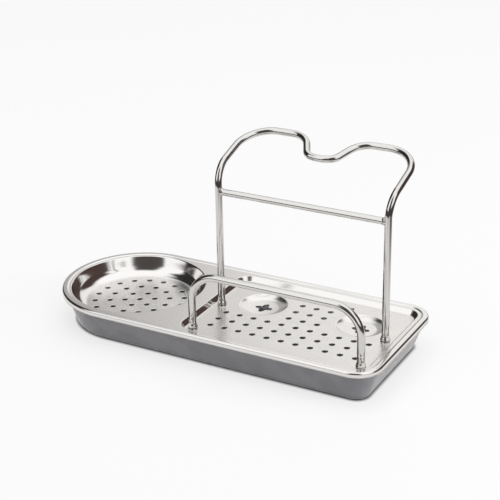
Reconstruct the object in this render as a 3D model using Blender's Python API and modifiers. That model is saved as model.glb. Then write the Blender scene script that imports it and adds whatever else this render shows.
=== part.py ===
"""Sink organizer: perforated steel strainer plate with a wire rack and a wire rail on a drip tray.

Metres, Z up. The drip tray stands on Z = 0. X runs along the tray, from the round end (minus)
to the square end (plus). Y runs from the front (minus) to the back (plus). The origin is the
middle of the footprint. Sheet and tray outlines are given by their inset from the outer face
of the plate rim.
"""

import math

import bmesh
import bpy
from mathutils import Vector
from mathutils.geometry import delaunay_2d_cdt

# Overall outline of the strainer plate
PLATE_LENGTH = 0.2436
PLATE_WIDTH = 0.1022
SQUARE_CORNER_RADIUS = 0.0170

# Clearances
ASSEMBLY_GAP = 0.0003
SKIRT_CLEARANCE = 0.0008
SHARPEST_CORNER = 0.0005

# Strainer plate sheet, heights measured from the top of the recess floor
SHEET_THICKNESS = 0.0008
SKIRT_HEIGHT = 0.0035
RIM_RADIUS = 0.0016
RIM_TOP = 0.0036
RIM_FLAT = 0.0018
RIM_FALL = 0.0014
PLATFORM_TOP = 0.0030

# Round dish: a land, a rounded lip, a steep wall, a fillet and a flat floor
DISH_LAND = 0.0008
DISH_LIP_RUN = 0.0010
DISH_LIP_FALL = 0.0012
DISH_DEPTH = 0.0089
DISH_FILLET = 0.0090
DISH_WALL_ANGLE = math.radians(70.0)
DISH_RING_STEP = 0.0100
DISH_RING_START = math.radians(30.0)
HOLES_PER_RING = 6

# Rectangular recess: its flat lands to the dish and to the rim, and its rounded sloping wall
RECESS_DISH_LAND = 0.0103
RECESS_LAND = 0.0021
RECESS_CORNER_RADIUS = 0.0060
RECESS_WALL_ANGLE = math.radians(60.0)
RECESS_TOP_BEND = 0.0012
RECESS_FOOT_BEND = 0.0008

# Shares of the width and of the height on the S-shaped slope of the dimples
DIMPLE_SLOPE = ((0.0, 0.0), (0.25, 0.12), (0.7, 0.8), (1.0, 1.0))

# Drain dimples in the recess floor
DIMPLE_RADIUS = 0.0150
DIMPLE_SLOPE_WIDTH = 0.0038
DIMPLE_DEPTH = 0.0027
DIMPLE_FROM_BACK = 0.0274
DIMPLE_FROM_ENDS = 0.0276
DIMPLE_SHIFT = 0.0011
LOBE_MEAN_RADIUS = 0.0042
LOBE_SWING = 0.0018

# Drain holes: rows of the recess floor from front to back, all with one centre
HOLE_RADIUS = 0.0018
HOLE_PITCH = 0.0100
HOLE_FROM_FRONT = 0.0142
HOLE_SHIFT = 0.0005
HOLE_LAND = 0.0008
ROW_HOLES = (11, 11, 11, 3, 3, 3, 5)

# Drip tray
TRAY_WALL = 0.0018
TRAY_FLOOR = 0.0020
TRAY_HEIGHT_TO_RECESS = 0.0192
TRAY_BASE_INSET = 0.0084
TRAY_BASE_FILLET = 0.0022

# Wire feet: a shoulder sits on the plate and a threaded end passes through it
FOOT_FROM_ENDS = 0.00435
SHOULDER_RADIUS = 0.00315
SHOULDER_HEIGHT = 0.0030
SHOULDER_EDGE = 0.00005
STUD_RADIUS = 0.0020
STUD_END_CHAMFER = 0.0004
WASHER_RADIUS = 0.0045
WASHER_THICKNESS = 0.0008
NUT_ACROSS_FLATS = 0.0070
NUT_HEIGHT = 0.0032
STUD_TAIL = 0.0010

# Shares of the shoulder height, and how far the shoulder has narrowed to the wire there
SHOULDER_FLARE = ((0.35, 0.08), (0.70, 0.50), (1.0, 1.0))

# Back rack wire: upright legs, a bend above the crossbar, and a loop that leans back
RACK_WIRE_RADIUS = 0.0023
RACK_SHIFT = -0.0006
RACK_Y = 0.0029
CROSSBAR_RADIUS = 0.0022
CROSSBAR_HEIGHT = 0.0780
BEND_ABOVE_CROSSBAR = 0.0026
RACK_BEND_RADIUS = 0.0156
RACK_LEAN = math.radians(72.0)

# Corners of the rack loop, as distances along the wire surface from the start of the bend
LOOP_FLARE = 0.0015
LOOP_FLARE_END = 0.0194
LOOP_FLARE_RADIUS = 0.0600
LOBE_TOP = 0.0562
LOBE_OUTER_RADIUS = 0.0210
LOBE_INNER_RADIUS = 0.0155
LOBE_INNER_X = 0.0187
DIP_CORNER_X = 0.0095
DIP_CORNER = 0.0371
DIP_CORNER_RADIUS = 0.0065
DIP_MIDDLE = 0.0351
DIP_MIDDLE_RADIUS = 0.0200

# Front rail wire
RAIL_WIRE_RADIUS = 0.0024
RAIL_SHIFT = 0.0001
RAIL_FROM_FRONT = 0.0064
RAIL_TOP = 0.0370
RAIL_BEND_RADIUS = 0.0180

# Facet counts
ROUND_END_STEPS = 32
CORNER_STEPS = 7
RIM_STEPS = 4
RECESS_BEND_STEPS = 2
DISH_STEPS = 40
DISH_FILLET_STEPS = 5
DIMPLE_STEPS = 24
HOLE_STEPS = 10
LOBE_STEPS = 32
TURN_STEPS = 20
TRAY_FILLET_STEPS = 3
WIRE_BEVEL_RESOLUTION = 2
WIRE_ARC_STEP = math.radians(10.0)
WIRE_LONGEST_STEP = 0.0036

# Derived levels
RECESS_LEVEL = TRAY_HEIGHT_TO_RECESS
TRAY_RIM_LEVEL = RECESS_LEVEL + RIM_TOP - SHEET_THICKNESS - ASSEMBLY_GAP
WASHER_TOP = RECESS_LEVEL - SHEET_THICKNESS - ASSEMBLY_GAP
NUT_TOP = WASHER_TOP - WASHER_THICKNESS - ASSEMBLY_GAP
STUD_END = NUT_TOP - NUT_HEIGHT - STUD_TAIL
FOOT_SEAT = RECESS_LEVEL + ASSEMBLY_GAP

# Derived outlines
HALF_WIDTH = PLATE_WIDTH / 2
ROUND_CENTRE_X = -PLATE_LENGTH / 2 + HALF_WIDTH
SQUARE_END_X = PLATE_LENGTH / 2
TRAY_RIM_INSET = SHEET_THICKNESS + SKIRT_CLEARANCE
RIM_INNER_INSET = RIM_RADIUS + RIM_FLAT + RIM_FALL
DISH_LIP_RADIUS = HALF_WIDTH - RIM_INNER_INSET - DISH_LAND
RECESS_BENDS = RECESS_TOP_BEND + RECESS_FOOT_BEND
RECESS_WALL_HEIGHT = PLATFORM_TOP - RECESS_BENDS * (1 - math.cos(RECESS_WALL_ANGLE))
RECESS_SLOPE_WIDTH = (RECESS_BENDS * math.sin(RECESS_WALL_ANGLE)
                      + RECESS_WALL_HEIGHT / math.tan(RECESS_WALL_ANGLE))
RECESS_LEFT = ROUND_CENTRE_X + DISH_LIP_RADIUS + RECESS_DISH_LAND + RECESS_SLOPE_WIDTH
RECESS_RIGHT = SQUARE_END_X - RIM_INNER_INSET - RECESS_LAND - RECESS_SLOPE_WIDTH
RECESS_BACK = HALF_WIDTH - RIM_INNER_INSET - RECESS_LAND - RECESS_SLOPE_WIDTH
RECESS_FRONT = -RECESS_BACK
RECESS_CENTRE_X = (RECESS_LEFT + RECESS_RIGHT) / 2
HOLE_CENTRE_X = RECESS_CENTRE_X + HOLE_SHIFT
STUD_HOLE_RADIUS = STUD_RADIUS + ASSEMBLY_GAP
LEG_HALF_SPACING = (RECESS_RIGHT - RECESS_LEFT) / 2 - FOOT_FROM_ENDS
RACK_CENTRE_X = RECESS_CENTRE_X + RACK_SHIFT
RAIL_CENTRE_X = RECESS_CENTRE_X + RAIL_SHIFT
RAIL_Y = RECESS_FRONT + RAIL_FROM_FRONT
BEND_START = CROSSBAR_HEIGHT + BEND_ABOVE_CROSSBAR

DIMPLES = (
    (RECESS_LEFT + DIMPLE_FROM_ENDS + DIMPLE_SHIFT, RECESS_BACK - DIMPLE_FROM_BACK),
    (RECESS_RIGHT - DIMPLE_FROM_ENDS + DIMPLE_SHIFT, RECESS_BACK - DIMPLE_FROM_BACK),
)
FEET = (
    ("rack_left", RACK_CENTRE_X - LEG_HALF_SPACING, RACK_Y),
    ("rack_right", RACK_CENTRE_X + LEG_HALF_SPACING, RACK_Y),
    ("rail_left", RAIL_CENTRE_X - LEG_HALF_SPACING, RAIL_Y),
    ("rail_right", RAIL_CENTRE_X + LEG_HALF_SPACING, RAIL_Y),
)


def clear_scene():
    """Remove every object that the default scene holds."""
    for item in list(bpy.data.objects):
        bpy.data.objects.remove(item, do_unlink=True)


def new_collection(name):
    """Make a collection and link it to the scene."""
    collection = bpy.data.collections.new(name)
    bpy.context.scene.collection.children.link(collection)
    return collection


def material(name, colour, metallic, roughness):
    """Make a Principled material."""
    shade = bpy.data.materials.new(name)
    shade.use_nodes = True
    node = shade.node_tree.nodes["Principled BSDF"]
    node.inputs["Base Color"].default_value = (colour[0], colour[1], colour[2], 1.0)
    node.inputs["Alpha"].default_value = colour[3]
    node.inputs["Metallic"].default_value = metallic
    node.inputs["Roughness"].default_value = roughness
    return shade


def place(name, data, collection, shade):
    """Link an object with its material to a collection."""
    item = bpy.data.objects.new(name, data)
    if shade is not None:
        data.materials.append(shade)
    collection.objects.link(item)
    return item


def mesh_from(builder, name):
    """Turn a bmesh into mesh data with outward normals."""
    bmesh.ops.recalc_face_normals(builder, faces=builder.faces)
    data = bpy.data.meshes.new(name)
    builder.to_mesh(data)
    builder.free()
    return data


# Outlines

def plan_loop(inset):
    """Plan outline of the tray at an inset: half circle on the left, square end on the right."""
    radius = HALF_WIDTH - inset
    end_x = SQUARE_END_X - inset
    corner = max(SQUARE_CORNER_RADIUS - inset, SHARPEST_CORNER)
    points = []
    for step in range(ROUND_END_STEPS + 1):
        turn = math.pi / 2 + math.pi * step / ROUND_END_STEPS
        points.append((ROUND_CENTRE_X + radius * math.cos(turn), radius * math.sin(turn)))
    for side, start in ((-1, -math.pi / 2), (1, 0.0)):
        for step in range(CORNER_STEPS + 1):
            turn = start + math.pi / 2 * step / CORNER_STEPS
            points.append((end_x - corner + corner * math.cos(turn),
                           side * (radius - corner) + corner * math.sin(turn)))
    return points


def circle_loop(centre_x, centre_y, radius, steps):
    """Circle, counter-clockwise."""
    return [(centre_x + radius * math.cos(2 * math.pi * step / steps),
             centre_y + radius * math.sin(2 * math.pi * step / steps)) for step in range(steps)]


def recess_loop(growth):
    """Rounded rectangle of the recess floor, grown outwards."""
    corner = RECESS_CORNER_RADIUS + growth
    right, left = RECESS_RIGHT + growth - corner, RECESS_LEFT - growth + corner
    back, front = RECESS_BACK + growth - corner, RECESS_FRONT - growth + corner
    points = []
    for quarter, (x, y) in enumerate(((right, back), (left, back), (left, front), (right, front))):
        for step in range(CORNER_STEPS + 1):
            turn = math.pi / 2 * (quarter + step / CORNER_STEPS)
            points.append((x + corner * math.cos(turn), y + corner * math.sin(turn)))
    return points


def lobe_loop(centre_x, centre_y):
    """Four-lobed drain cut with its lobes along X and Y."""
    points = []
    for step in range(LOBE_STEPS):
        turn = 2 * math.pi * step / LOBE_STEPS
        reach = LOBE_MEAN_RADIUS + LOBE_SWING * math.cos(4 * turn)
        points.append((centre_x + reach * math.cos(turn), centre_y + reach * math.sin(turn)))
    return points


def on_recess_floor(x, y):
    """Tell whether a drain hole has flat floor around it."""
    reach = HOLE_RADIUS + HOLE_LAND
    on_floor = (RECESS_LEFT + reach < x < RECESS_RIGHT - reach
                and RECESS_FRONT + reach < y < RECESS_BACK - reach)
    off_dimples = all(math.hypot(x - dimple_x, y - dimple_y) > DIMPLE_RADIUS + reach
                      for dimple_x, dimple_y in DIMPLES)
    off_feet = all(math.hypot(x - foot_x, y - foot_y) > SHOULDER_RADIUS + reach
                   for _, foot_x, foot_y in FEET)
    return on_floor and off_dimples and off_feet


def recess_hole_centres():
    """Centres of the round holes in the recess floor."""
    centres = []
    for row, count in enumerate(ROW_HOLES):
        y = RECESS_FRONT + HOLE_FROM_FRONT + row * HOLE_PITCH
        for column in range(count):
            centres.append((HOLE_CENTRE_X + (column - (count - 1) / 2) * HOLE_PITCH, y))
    return [centre for centre in centres if on_recess_floor(*centre)]


def dish_hole_centres():
    """Centres of the round holes in the dish floor: one in the middle and full rings."""
    centres = [(ROUND_CENTRE_X, 0.0)]
    rings = int((dish_profile()[-1][0] - HOLE_RADIUS - HOLE_LAND) / DISH_RING_STEP)
    for ring in range(1, rings + 1):
        count = HOLES_PER_RING * ring
        for step in range(count):
            turn = DISH_RING_START + 2 * math.pi * step / count
            centres.append((ROUND_CENTRE_X + ring * DISH_RING_STEP * math.cos(turn),
                            ring * DISH_RING_STEP * math.sin(turn)))
    return centres


# Surface building

def add_loop(builder, points, level):
    """Add a ring of vertices at one level."""
    return [builder.verts.new((x, y, level)) for x, y in points]


def bridge(builder, first, second):
    """Join two rings of the same length with quads."""
    count = len(first)
    for index in range(count):
        after = (index + 1) % count
        builder.faces.new((first[index], first[after], second[after], second[index]))


def inside(point, loop):
    """Tell whether a point lies inside a plan loop."""
    result = False
    count = len(loop)
    for index in range(count):
        x1, y1 = loop[index]
        x2, y2 = loop[(index + 1) % count]
        if (y1 > point[1]) != (y2 > point[1]):
            if point[0] < (x2 - x1) * (point[1] - y1) / (y2 - y1) + x1:
                result = not result
    return result


def fill_flat(builder, outer, holes):
    """Fill the flat area between an outer ring and the rings inside it with triangles."""
    rings = [outer] + holes
    verts = [vert for ring in rings for vert in ring]
    edges = []
    start = 0
    for ring in rings:
        count = len(ring)
        edges += [(start + index, start + (index + 1) % count) for index in range(count)]
        start += count
    plans = [[(vert.co.x, vert.co.y) for vert in ring] for ring in rings]
    result = delaunay_2d_cdt([Vector((v.co.x, v.co.y)) for v in verts], edges, [], 0, 1e-7, True)
    coords, _, faces, origins = result[0], result[1], result[2], result[3]
    for face in faces:
        middle = (sum(coords[index].x for index in face) / 3,
                  sum(coords[index].y for index in face) / 3)
        if not inside(middle, plans[0]):
            continue
        if any(inside(middle, plan) for plan in plans[1:]):
            continue
        builder.faces.new([verts[origins[index][0]] for index in face])


def rim_profile():
    """Inset and height of the plate rim, from the lower edge of the skirt to the platform."""
    arc_level = RIM_TOP - RIM_RADIUS
    points = [(0.0, RIM_TOP - SKIRT_HEIGHT)]
    for step in range(RIM_STEPS + 1):
        turn = math.pi / 2 * step / RIM_STEPS
        points.append((RIM_RADIUS * (1 - math.cos(turn)), arc_level + RIM_RADIUS * math.sin(turn)))
    points.append((RIM_RADIUS + RIM_FLAT, RIM_TOP))
    points.append((RIM_RADIUS + RIM_FLAT + RIM_FALL / 2, (RIM_TOP + PLATFORM_TOP) / 2))
    points.append((RIM_INNER_INSET, PLATFORM_TOP))
    return points


def recess_profile():
    """Growth and height of the recess wall, from the platform down to the floor."""
    turns = [RECESS_WALL_ANGLE * step / RECESS_BEND_STEPS for step in range(RECESS_BEND_STEPS + 1)]
    top = [(RECESS_SLOPE_WIDTH - RECESS_TOP_BEND * math.sin(turn),
            PLATFORM_TOP - RECESS_TOP_BEND * (1 - math.cos(turn))) for turn in turns]
    foot = [(RECESS_FOOT_BEND * math.sin(turn), RECESS_FOOT_BEND * (1 - math.cos(turn)))
            for turn in reversed(turns)]
    return top + foot


def dish_profile():
    """Radius and height of the dish, from its lip down to the edge of its flat floor."""
    wall_radius = DISH_LIP_RADIUS - DISH_LIP_RUN
    wall_level = PLATFORM_TOP - DISH_LIP_FALL
    arc_level = -DISH_DEPTH + DISH_FILLET * (1 - math.cos(DISH_WALL_ANGLE))
    arc_radius = wall_radius - (wall_level - arc_level) / math.tan(DISH_WALL_ANGLE)
    floor_radius = arc_radius - DISH_FILLET * math.sin(DISH_WALL_ANGLE)
    points = [
        (DISH_LIP_RADIUS, PLATFORM_TOP),
        (DISH_LIP_RADIUS - 2 * DISH_LIP_RUN / 3, PLATFORM_TOP - DISH_LIP_FALL / 3),
        (wall_radius, wall_level),
    ]
    for step in range(DISH_FILLET_STEPS + 1):
        turn = DISH_WALL_ANGLE * (1 - step / DISH_FILLET_STEPS)
        points.append((floor_radius + DISH_FILLET * math.sin(turn),
                       -DISH_DEPTH + DISH_FILLET * (1 - math.cos(turn))))
    return points


def build_plate(collection, shade):
    """Strainer plate: one pressed sheet with rim, dish, recess, dimples and drain holes."""
    builder = bmesh.new()

    rim = [add_loop(builder, plan_loop(inset), RECESS_LEVEL + level)
           for inset, level in rim_profile()]
    for lower, upper in zip(rim, rim[1:]):
        bridge(builder, lower, upper)

    dish = [add_loop(builder, circle_loop(ROUND_CENTRE_X, 0.0, radius, DISH_STEPS),
                     RECESS_LEVEL + level) for radius, level in dish_profile()]
    for upper, lower in zip(dish, dish[1:]):
        bridge(builder, upper, lower)

    slope = [add_loop(builder, recess_loop(growth), RECESS_LEVEL + level)
             for growth, level in recess_profile()]
    for upper, lower in zip(slope, slope[1:]):
        bridge(builder, upper, lower)

    dimple_tops = []
    for x, y in DIMPLES:
        dimple = []
        for across, down in DIMPLE_SLOPE:
            ring = circle_loop(x, y, DIMPLE_RADIUS - DIMPLE_SLOPE_WIDTH * across, DIMPLE_STEPS)
            dimple.append(add_loop(builder, ring, RECESS_LEVEL - DIMPLE_DEPTH * down))
        for upper, lower in zip(dimple, dimple[1:]):
            bridge(builder, upper, lower)
        cut = add_loop(builder, lobe_loop(x, y), RECESS_LEVEL - DIMPLE_DEPTH)
        fill_flat(builder, dimple[-1], [cut])
        dimple_tops.append(dimple[0])

    fill_flat(builder, rim[-1], [dish[0], slope[0]])

    recess_holes = [add_loop(builder, circle_loop(x, y, HOLE_RADIUS, HOLE_STEPS), RECESS_LEVEL)
                    for x, y in recess_hole_centres()]
    stud_holes = [add_loop(builder, circle_loop(x, y, STUD_HOLE_RADIUS, TURN_STEPS), RECESS_LEVEL)
                  for _, x, y in FEET]
    fill_flat(builder, slope[-1], dimple_tops + recess_holes + stud_holes)

    dish_level = RECESS_LEVEL - DISH_DEPTH
    dish_holes = [add_loop(builder, circle_loop(x, y, HOLE_RADIUS, HOLE_STEPS), dish_level)
                  for x, y in dish_hole_centres()]
    fill_flat(builder, dish[-1], dish_holes)

    bmesh.ops.recalc_face_normals(builder, faces=builder.faces)
    builder.faces.ensure_lookup_table()
    flat = max(builder.faces, key=lambda face: face.calc_area())
    if flat.normal.z < 0:
        bmesh.ops.reverse_faces(builder, faces=builder.faces)
    data = bpy.data.meshes.new("strainer_plate")
    builder.to_mesh(data)
    builder.free()
    plate = place("strainer_plate", data, collection, shade)
    shell = plate.modifiers.new("sheet", "SOLIDIFY")
    shell.thickness = SHEET_THICKNESS
    shell.offset = -1.0
    shell.use_even_offset = True
    shell.use_quality_normals = True
    return plate


def build_tray(collection, shade):
    """Drip tray: open tapered shell that carries the plate on its rim."""
    fillet = TRAY_BASE_FILLET
    taper = (TRAY_BASE_INSET - TRAY_RIM_INSET) / (TRAY_RIM_LEVEL - fillet)
    inner_rim = TRAY_RIM_INSET + TRAY_WALL
    inner_base = inner_rim + taper * (TRAY_RIM_LEVEL - TRAY_FLOOR - fillet)
    turns = [math.pi / 2 * step / TRAY_FILLET_STEPS for step in range(TRAY_FILLET_STEPS + 1)]
    outer = [(TRAY_BASE_INSET + fillet * (1 - math.sin(turn)), fillet * (1 - math.cos(turn)))
             for turn in turns]
    inner = [(inner_base + fillet * (1 - math.sin(turn)), TRAY_FLOOR + fillet * (1 - math.cos(turn)))
             for turn in reversed(turns)]
    profile = outer + [(TRAY_RIM_INSET, TRAY_RIM_LEVEL), (inner_rim, TRAY_RIM_LEVEL)] + inner
    builder = bmesh.new()
    loops = [add_loop(builder, plan_loop(inset), level) for inset, level in profile]
    for first, second in zip(loops, loops[1:]):
        bridge(builder, first, second)
    builder.faces.new(loops[0])
    builder.faces.new(loops[-1])
    return place("drip_tray", mesh_from(builder, "drip_tray"), collection, shade)


# Wires

def wire(name, points, wire_radius, collection, shade):
    """Round wire along points that carry their own radius, closed at both ends."""
    path = bpy.data.curves.new(name + "_path", "CURVE")
    path.dimensions = "3D"
    path.bevel_depth = wire_radius
    path.bevel_resolution = WIRE_BEVEL_RESOLUTION
    path.use_fill_caps = True
    path.twist_mode = "MINIMUM"
    spline = path.splines.new("POLY")
    spline.points.add(len(points) - 1)
    for point, (position, radius) in zip(spline.points, points):
        point.co = (position[0], position[1], position[2], 1.0)
        point.radius = radius / wire_radius
    guide = bpy.data.objects.new(name + "_guide", path)
    collection.objects.link(guide)
    bpy.context.view_layer.update()
    graph = bpy.context.evaluated_depsgraph_get()
    data = bpy.data.meshes.new_from_object(guide.evaluated_get(graph))
    bpy.data.objects.remove(guide, do_unlink=True)
    builder = bmesh.new()
    builder.from_mesh(data)
    bpy.data.meshes.remove(data)
    bmesh.ops.remove_doubles(builder, verts=builder.verts, dist=1e-6)
    return place(name, mesh_from(builder, name), collection, shade)


def foot_points(x, y, wire_radius):
    """Foot of a wire leg from its threaded end up to the plain wire."""
    levels = [
        (STUD_END, STUD_RADIUS - STUD_END_CHAMFER),
        (STUD_END + STUD_END_CHAMFER, STUD_RADIUS),
        (FOOT_SEAT, STUD_RADIUS),
        (FOOT_SEAT + SHOULDER_EDGE, SHOULDER_RADIUS),
    ]
    for up, narrowed in SHOULDER_FLARE:
        radius = SHOULDER_RADIUS + narrowed * (wire_radius - SHOULDER_RADIUS)
        levels.append((FOOT_SEAT + up * SHOULDER_HEIGHT, radius))
    return [((x, y, level), radius) for level, radius in levels]


def rounded_path(corners):
    """Run through flat corners (x, y, radius), with an arc at each corner between the ends."""
    path = [Vector(corners[0][:2])]
    for before, here, after in zip(corners, corners[1:], corners[2:]):
        corner = Vector(here[:2])
        into = (corner - Vector(before[:2])).normalized()
        out = (Vector(after[:2]) - corner).normalized()
        turn = math.atan2(into.x * out.y - into.y * out.x, into.dot(out))
        side = Vector((-into.y, into.x)) * math.copysign(here[2], turn)
        centre = corner - into * here[2] * math.tan(abs(turn) / 2) + side
        steps = max(2, math.ceil(abs(turn) / WIRE_ARC_STEP))
        for step in range(steps + 1):
            angle = turn * step / steps
            swing = Vector((-side.x * math.cos(angle) + side.y * math.sin(angle),
                            -side.x * math.sin(angle) - side.y * math.cos(angle)))
            path.append(centre + swing)
    path.append(Vector(corners[-1][:2]))
    return path


def stepped(path):
    """Add points to the long straight stretches of a flat path."""
    result = [path[0]]
    for start, end in zip(path, path[1:]):
        count = math.ceil((end - start).length / WIRE_LONGEST_STEP)
        result += [start.lerp(end, step / count) for step in range(1, count + 1)]
    return result


def on_lean(distance):
    """Y and height on the leaning wire surface, a distance above the start of the bend."""
    turn = min(distance / RACK_BEND_RADIUS, RACK_LEAN)
    rest = distance - turn * RACK_BEND_RADIUS
    y = RACK_BEND_RADIUS * (1 - math.cos(turn)) + rest * math.sin(RACK_LEAN)
    z = RACK_BEND_RADIUS * math.sin(turn) + rest * math.cos(RACK_LEAN)
    return RACK_Y + y, RECESS_LEVEL + BEND_START + z


def loop_corners():
    """Corners of the rack loop from the left leg to the right leg."""
    half = [
        (LEG_HALF_SPACING, 0.0, 0.0),
        (LEG_HALF_SPACING + LOOP_FLARE, LOOP_FLARE_END, LOOP_FLARE_RADIUS),
        (LEG_HALF_SPACING + LOOP_FLARE, LOBE_TOP, LOBE_OUTER_RADIUS),
        (LOBE_INNER_X, LOBE_TOP, LOBE_INNER_RADIUS),
        (DIP_CORNER_X, DIP_CORNER, DIP_CORNER_RADIUS),
    ]
    middle = [(0.0, DIP_MIDDLE, DIP_MIDDLE_RADIUS)]
    return [(-x, distance, radius) for x, distance, radius in half] + middle + half[::-1]


def build_rack(collection, shade):
    """Back rack: two upright legs whose loop leans back and dips in the middle."""
    left = foot_points(RACK_CENTRE_X - LEG_HALF_SPACING, RACK_Y, RACK_WIRE_RADIUS)
    right = foot_points(RACK_CENTRE_X + LEG_HALF_SPACING, RACK_Y, RACK_WIRE_RADIUS)
    loop = []
    for point in stepped(rounded_path(loop_corners())):
        y, z = on_lean(point.y)
        loop.append(((RACK_CENTRE_X + point.x, y, z), RACK_WIRE_RADIUS))
    return wire("rack_wire", left + loop + right[::-1], RACK_WIRE_RADIUS, collection, shade)


def build_rail(collection, shade):
    """Front rail: one low wire bow with rounded corners."""
    left_x = RAIL_CENTRE_X - LEG_HALF_SPACING
    right_x = RAIL_CENTRE_X + LEG_HALF_SPACING
    left = foot_points(left_x, RAIL_Y, RAIL_WIRE_RADIUS)
    right = foot_points(right_x, RAIL_Y, RAIL_WIRE_RADIUS)
    top = RECESS_LEVEL + RAIL_TOP
    corners = [
        (left_x, left[-1][0][2], 0.0),
        (left_x, top, RAIL_BEND_RADIUS),
        (right_x, top, RAIL_BEND_RADIUS),
        (right_x, right[-1][0][2], 0.0),
    ]
    bow = [((point.x, RAIL_Y, point.y), RAIL_WIRE_RADIUS) for point in rounded_path(corners)[1:-1]]
    return wire("rail_wire", left + bow + right[::-1], RAIL_WIRE_RADIUS, collection, shade)


def cylinder(name, radius, length, steps, collection):
    """Plain cylinder along Z around its own origin."""
    builder = bmesh.new()
    bmesh.ops.create_cone(builder, cap_ends=True, segments=steps, radius1=radius,
                          radius2=radius, depth=length)
    return place(name, mesh_from(builder, name), collection, None)


def subtract(item, cutter):
    """Cut one solid out of another."""
    cut = item.modifiers.new("cut_" + cutter.name, "BOOLEAN")
    cut.operation = "DIFFERENCE"
    cut.solver = "EXACT"
    cut.object = cutter
    cutter.hide_render = True
    cutter.display_type = "WIRE"


def build_crossbar(collection, cutters, shade):
    """Crossbar between the rack legs, its ends shaped to the round legs."""
    length = 2 * LEG_HALF_SPACING
    bar = cylinder("rack_crossbar", CROSSBAR_RADIUS, length, 2 * (WIRE_BEVEL_RESOLUTION + 4),
                   collection)
    bar.data.transform(turn_to_x())
    bar.location = (RACK_CENTRE_X, RACK_Y, RECESS_LEVEL + CROSSBAR_HEIGHT)
    bar.data.materials.append(shade)
    for side in (-1, 1):
        cutter = cylinder("leg_clearance", RACK_WIRE_RADIUS + ASSEMBLY_GAP,
                          6 * RACK_WIRE_RADIUS, TURN_STEPS, cutters)
        cutter.location = (RACK_CENTRE_X + side * LEG_HALF_SPACING, RACK_Y,
                           RECESS_LEVEL + CROSSBAR_HEIGHT)
        subtract(bar, cutter)
    return bar


def turn_to_x():
    """Quarter turn that lays a Z cylinder along X."""
    return Vector((0.0, 0.0, 1.0)).rotation_difference(Vector((1.0, 0.0, 0.0))).to_matrix().to_4x4()


# Fasteners below the plate

def turned_ring(name, profile, collection, shade):
    """Ring turned around Z from a closed half section, given at +X."""
    data = bpy.data.meshes.new(name)
    count = len(profile)
    edges = [(index, (index + 1) % count) for index in range(count)]
    data.from_pydata([(radius, 0.0, level) for radius, level in profile], edges, [])
    item = place(name, data, collection, shade)
    screw = item.modifiers.new("turn", "SCREW")
    screw.axis = "Z"
    screw.angle = 2 * math.pi
    screw.steps = TURN_STEPS
    screw.render_steps = TURN_STEPS
    screw.use_merge_vertices = True
    screw.merge_threshold = 0.00001
    return item


def build_washer(foot, x, y, collection, shade):
    """Flat washer against the underside of the plate."""
    profile = ((STUD_HOLE_RADIUS, 0.0), (WASHER_RADIUS, 0.0),
               (WASHER_RADIUS, -WASHER_THICKNESS), (STUD_HOLE_RADIUS, -WASHER_THICKNESS))
    item = turned_ring(foot + "_washer", profile, collection, shade)
    item.location = (x, y, WASHER_TOP)
    return item


def build_nut(foot, x, y, collection, cutters, shade):
    """Hexagon nut on the threaded end of a wire foot."""
    nut = cylinder(foot + "_nut", NUT_ACROSS_FLATS / math.sqrt(3), NUT_HEIGHT, 6, collection)
    nut.data.materials.append(shade)
    bore = cylinder("nut_bore", STUD_HOLE_RADIUS, 2 * NUT_HEIGHT, TURN_STEPS, cutters)
    for item in (nut, bore):
        item.location = (x, y, NUT_TOP - NUT_HEIGHT / 2)
    subtract(nut, bore)
    return nut


def match_render_view():
    """Show every modifier in the viewport as it renders."""
    for item in bpy.data.objects:
        for modifier in item.modifiers:
            modifier.show_viewport = True
            modifier.show_render = True


def main():
    """Build the whole sink organizer."""
    clear_scene()
    parts = new_collection("sink_organizer")
    cutters = new_collection("cutters")
    build_tray(parts, material("smoke_plastic", (0.30, 0.30, 0.33, 0.75), 0.0, 0.18))
    build_plate(parts, material("plate_steel", (0.72, 0.71, 0.69, 1.0), 1.0, 0.28))
    build_rack(parts, material("rack_steel", (0.70, 0.69, 0.67, 1.0), 1.0, 0.18))
    build_crossbar(parts, cutters, material("crossbar_steel", (0.70, 0.69, 0.67, 1.0), 1.0, 0.18))
    build_rail(parts, material("rail_steel", (0.70, 0.69, 0.67, 1.0), 1.0, 0.18))
    for foot, x, y in FEET:
        washer_shade = material(foot + "_washer_steel", (0.66, 0.65, 0.64, 1.0), 1.0, 0.35)
        nut_shade = material(foot + "_nut_steel", (0.66, 0.65, 0.64, 1.0), 1.0, 0.30)
        build_washer(foot, x, y, parts, washer_shade)
        build_nut(foot, x, y, parts, cutters, nut_shade)
    match_render_view()


if __name__ == "__main__":
    main()
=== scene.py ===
"""Looks of the sink organizer: a steel strainer plate with two wires on a smoke plastic drip tray.

Metres, Z up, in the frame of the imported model. Every piece stands for the CAD node of its name.
"""
import logging
import math
from dataclasses import dataclass, field, replace
from enum import Enum
from functools import cached_property
from typing import Callable, Iterable, Optional, Sequence, Union

import bmesh
import bpy
from mathutils import Matrix, Vector


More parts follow.
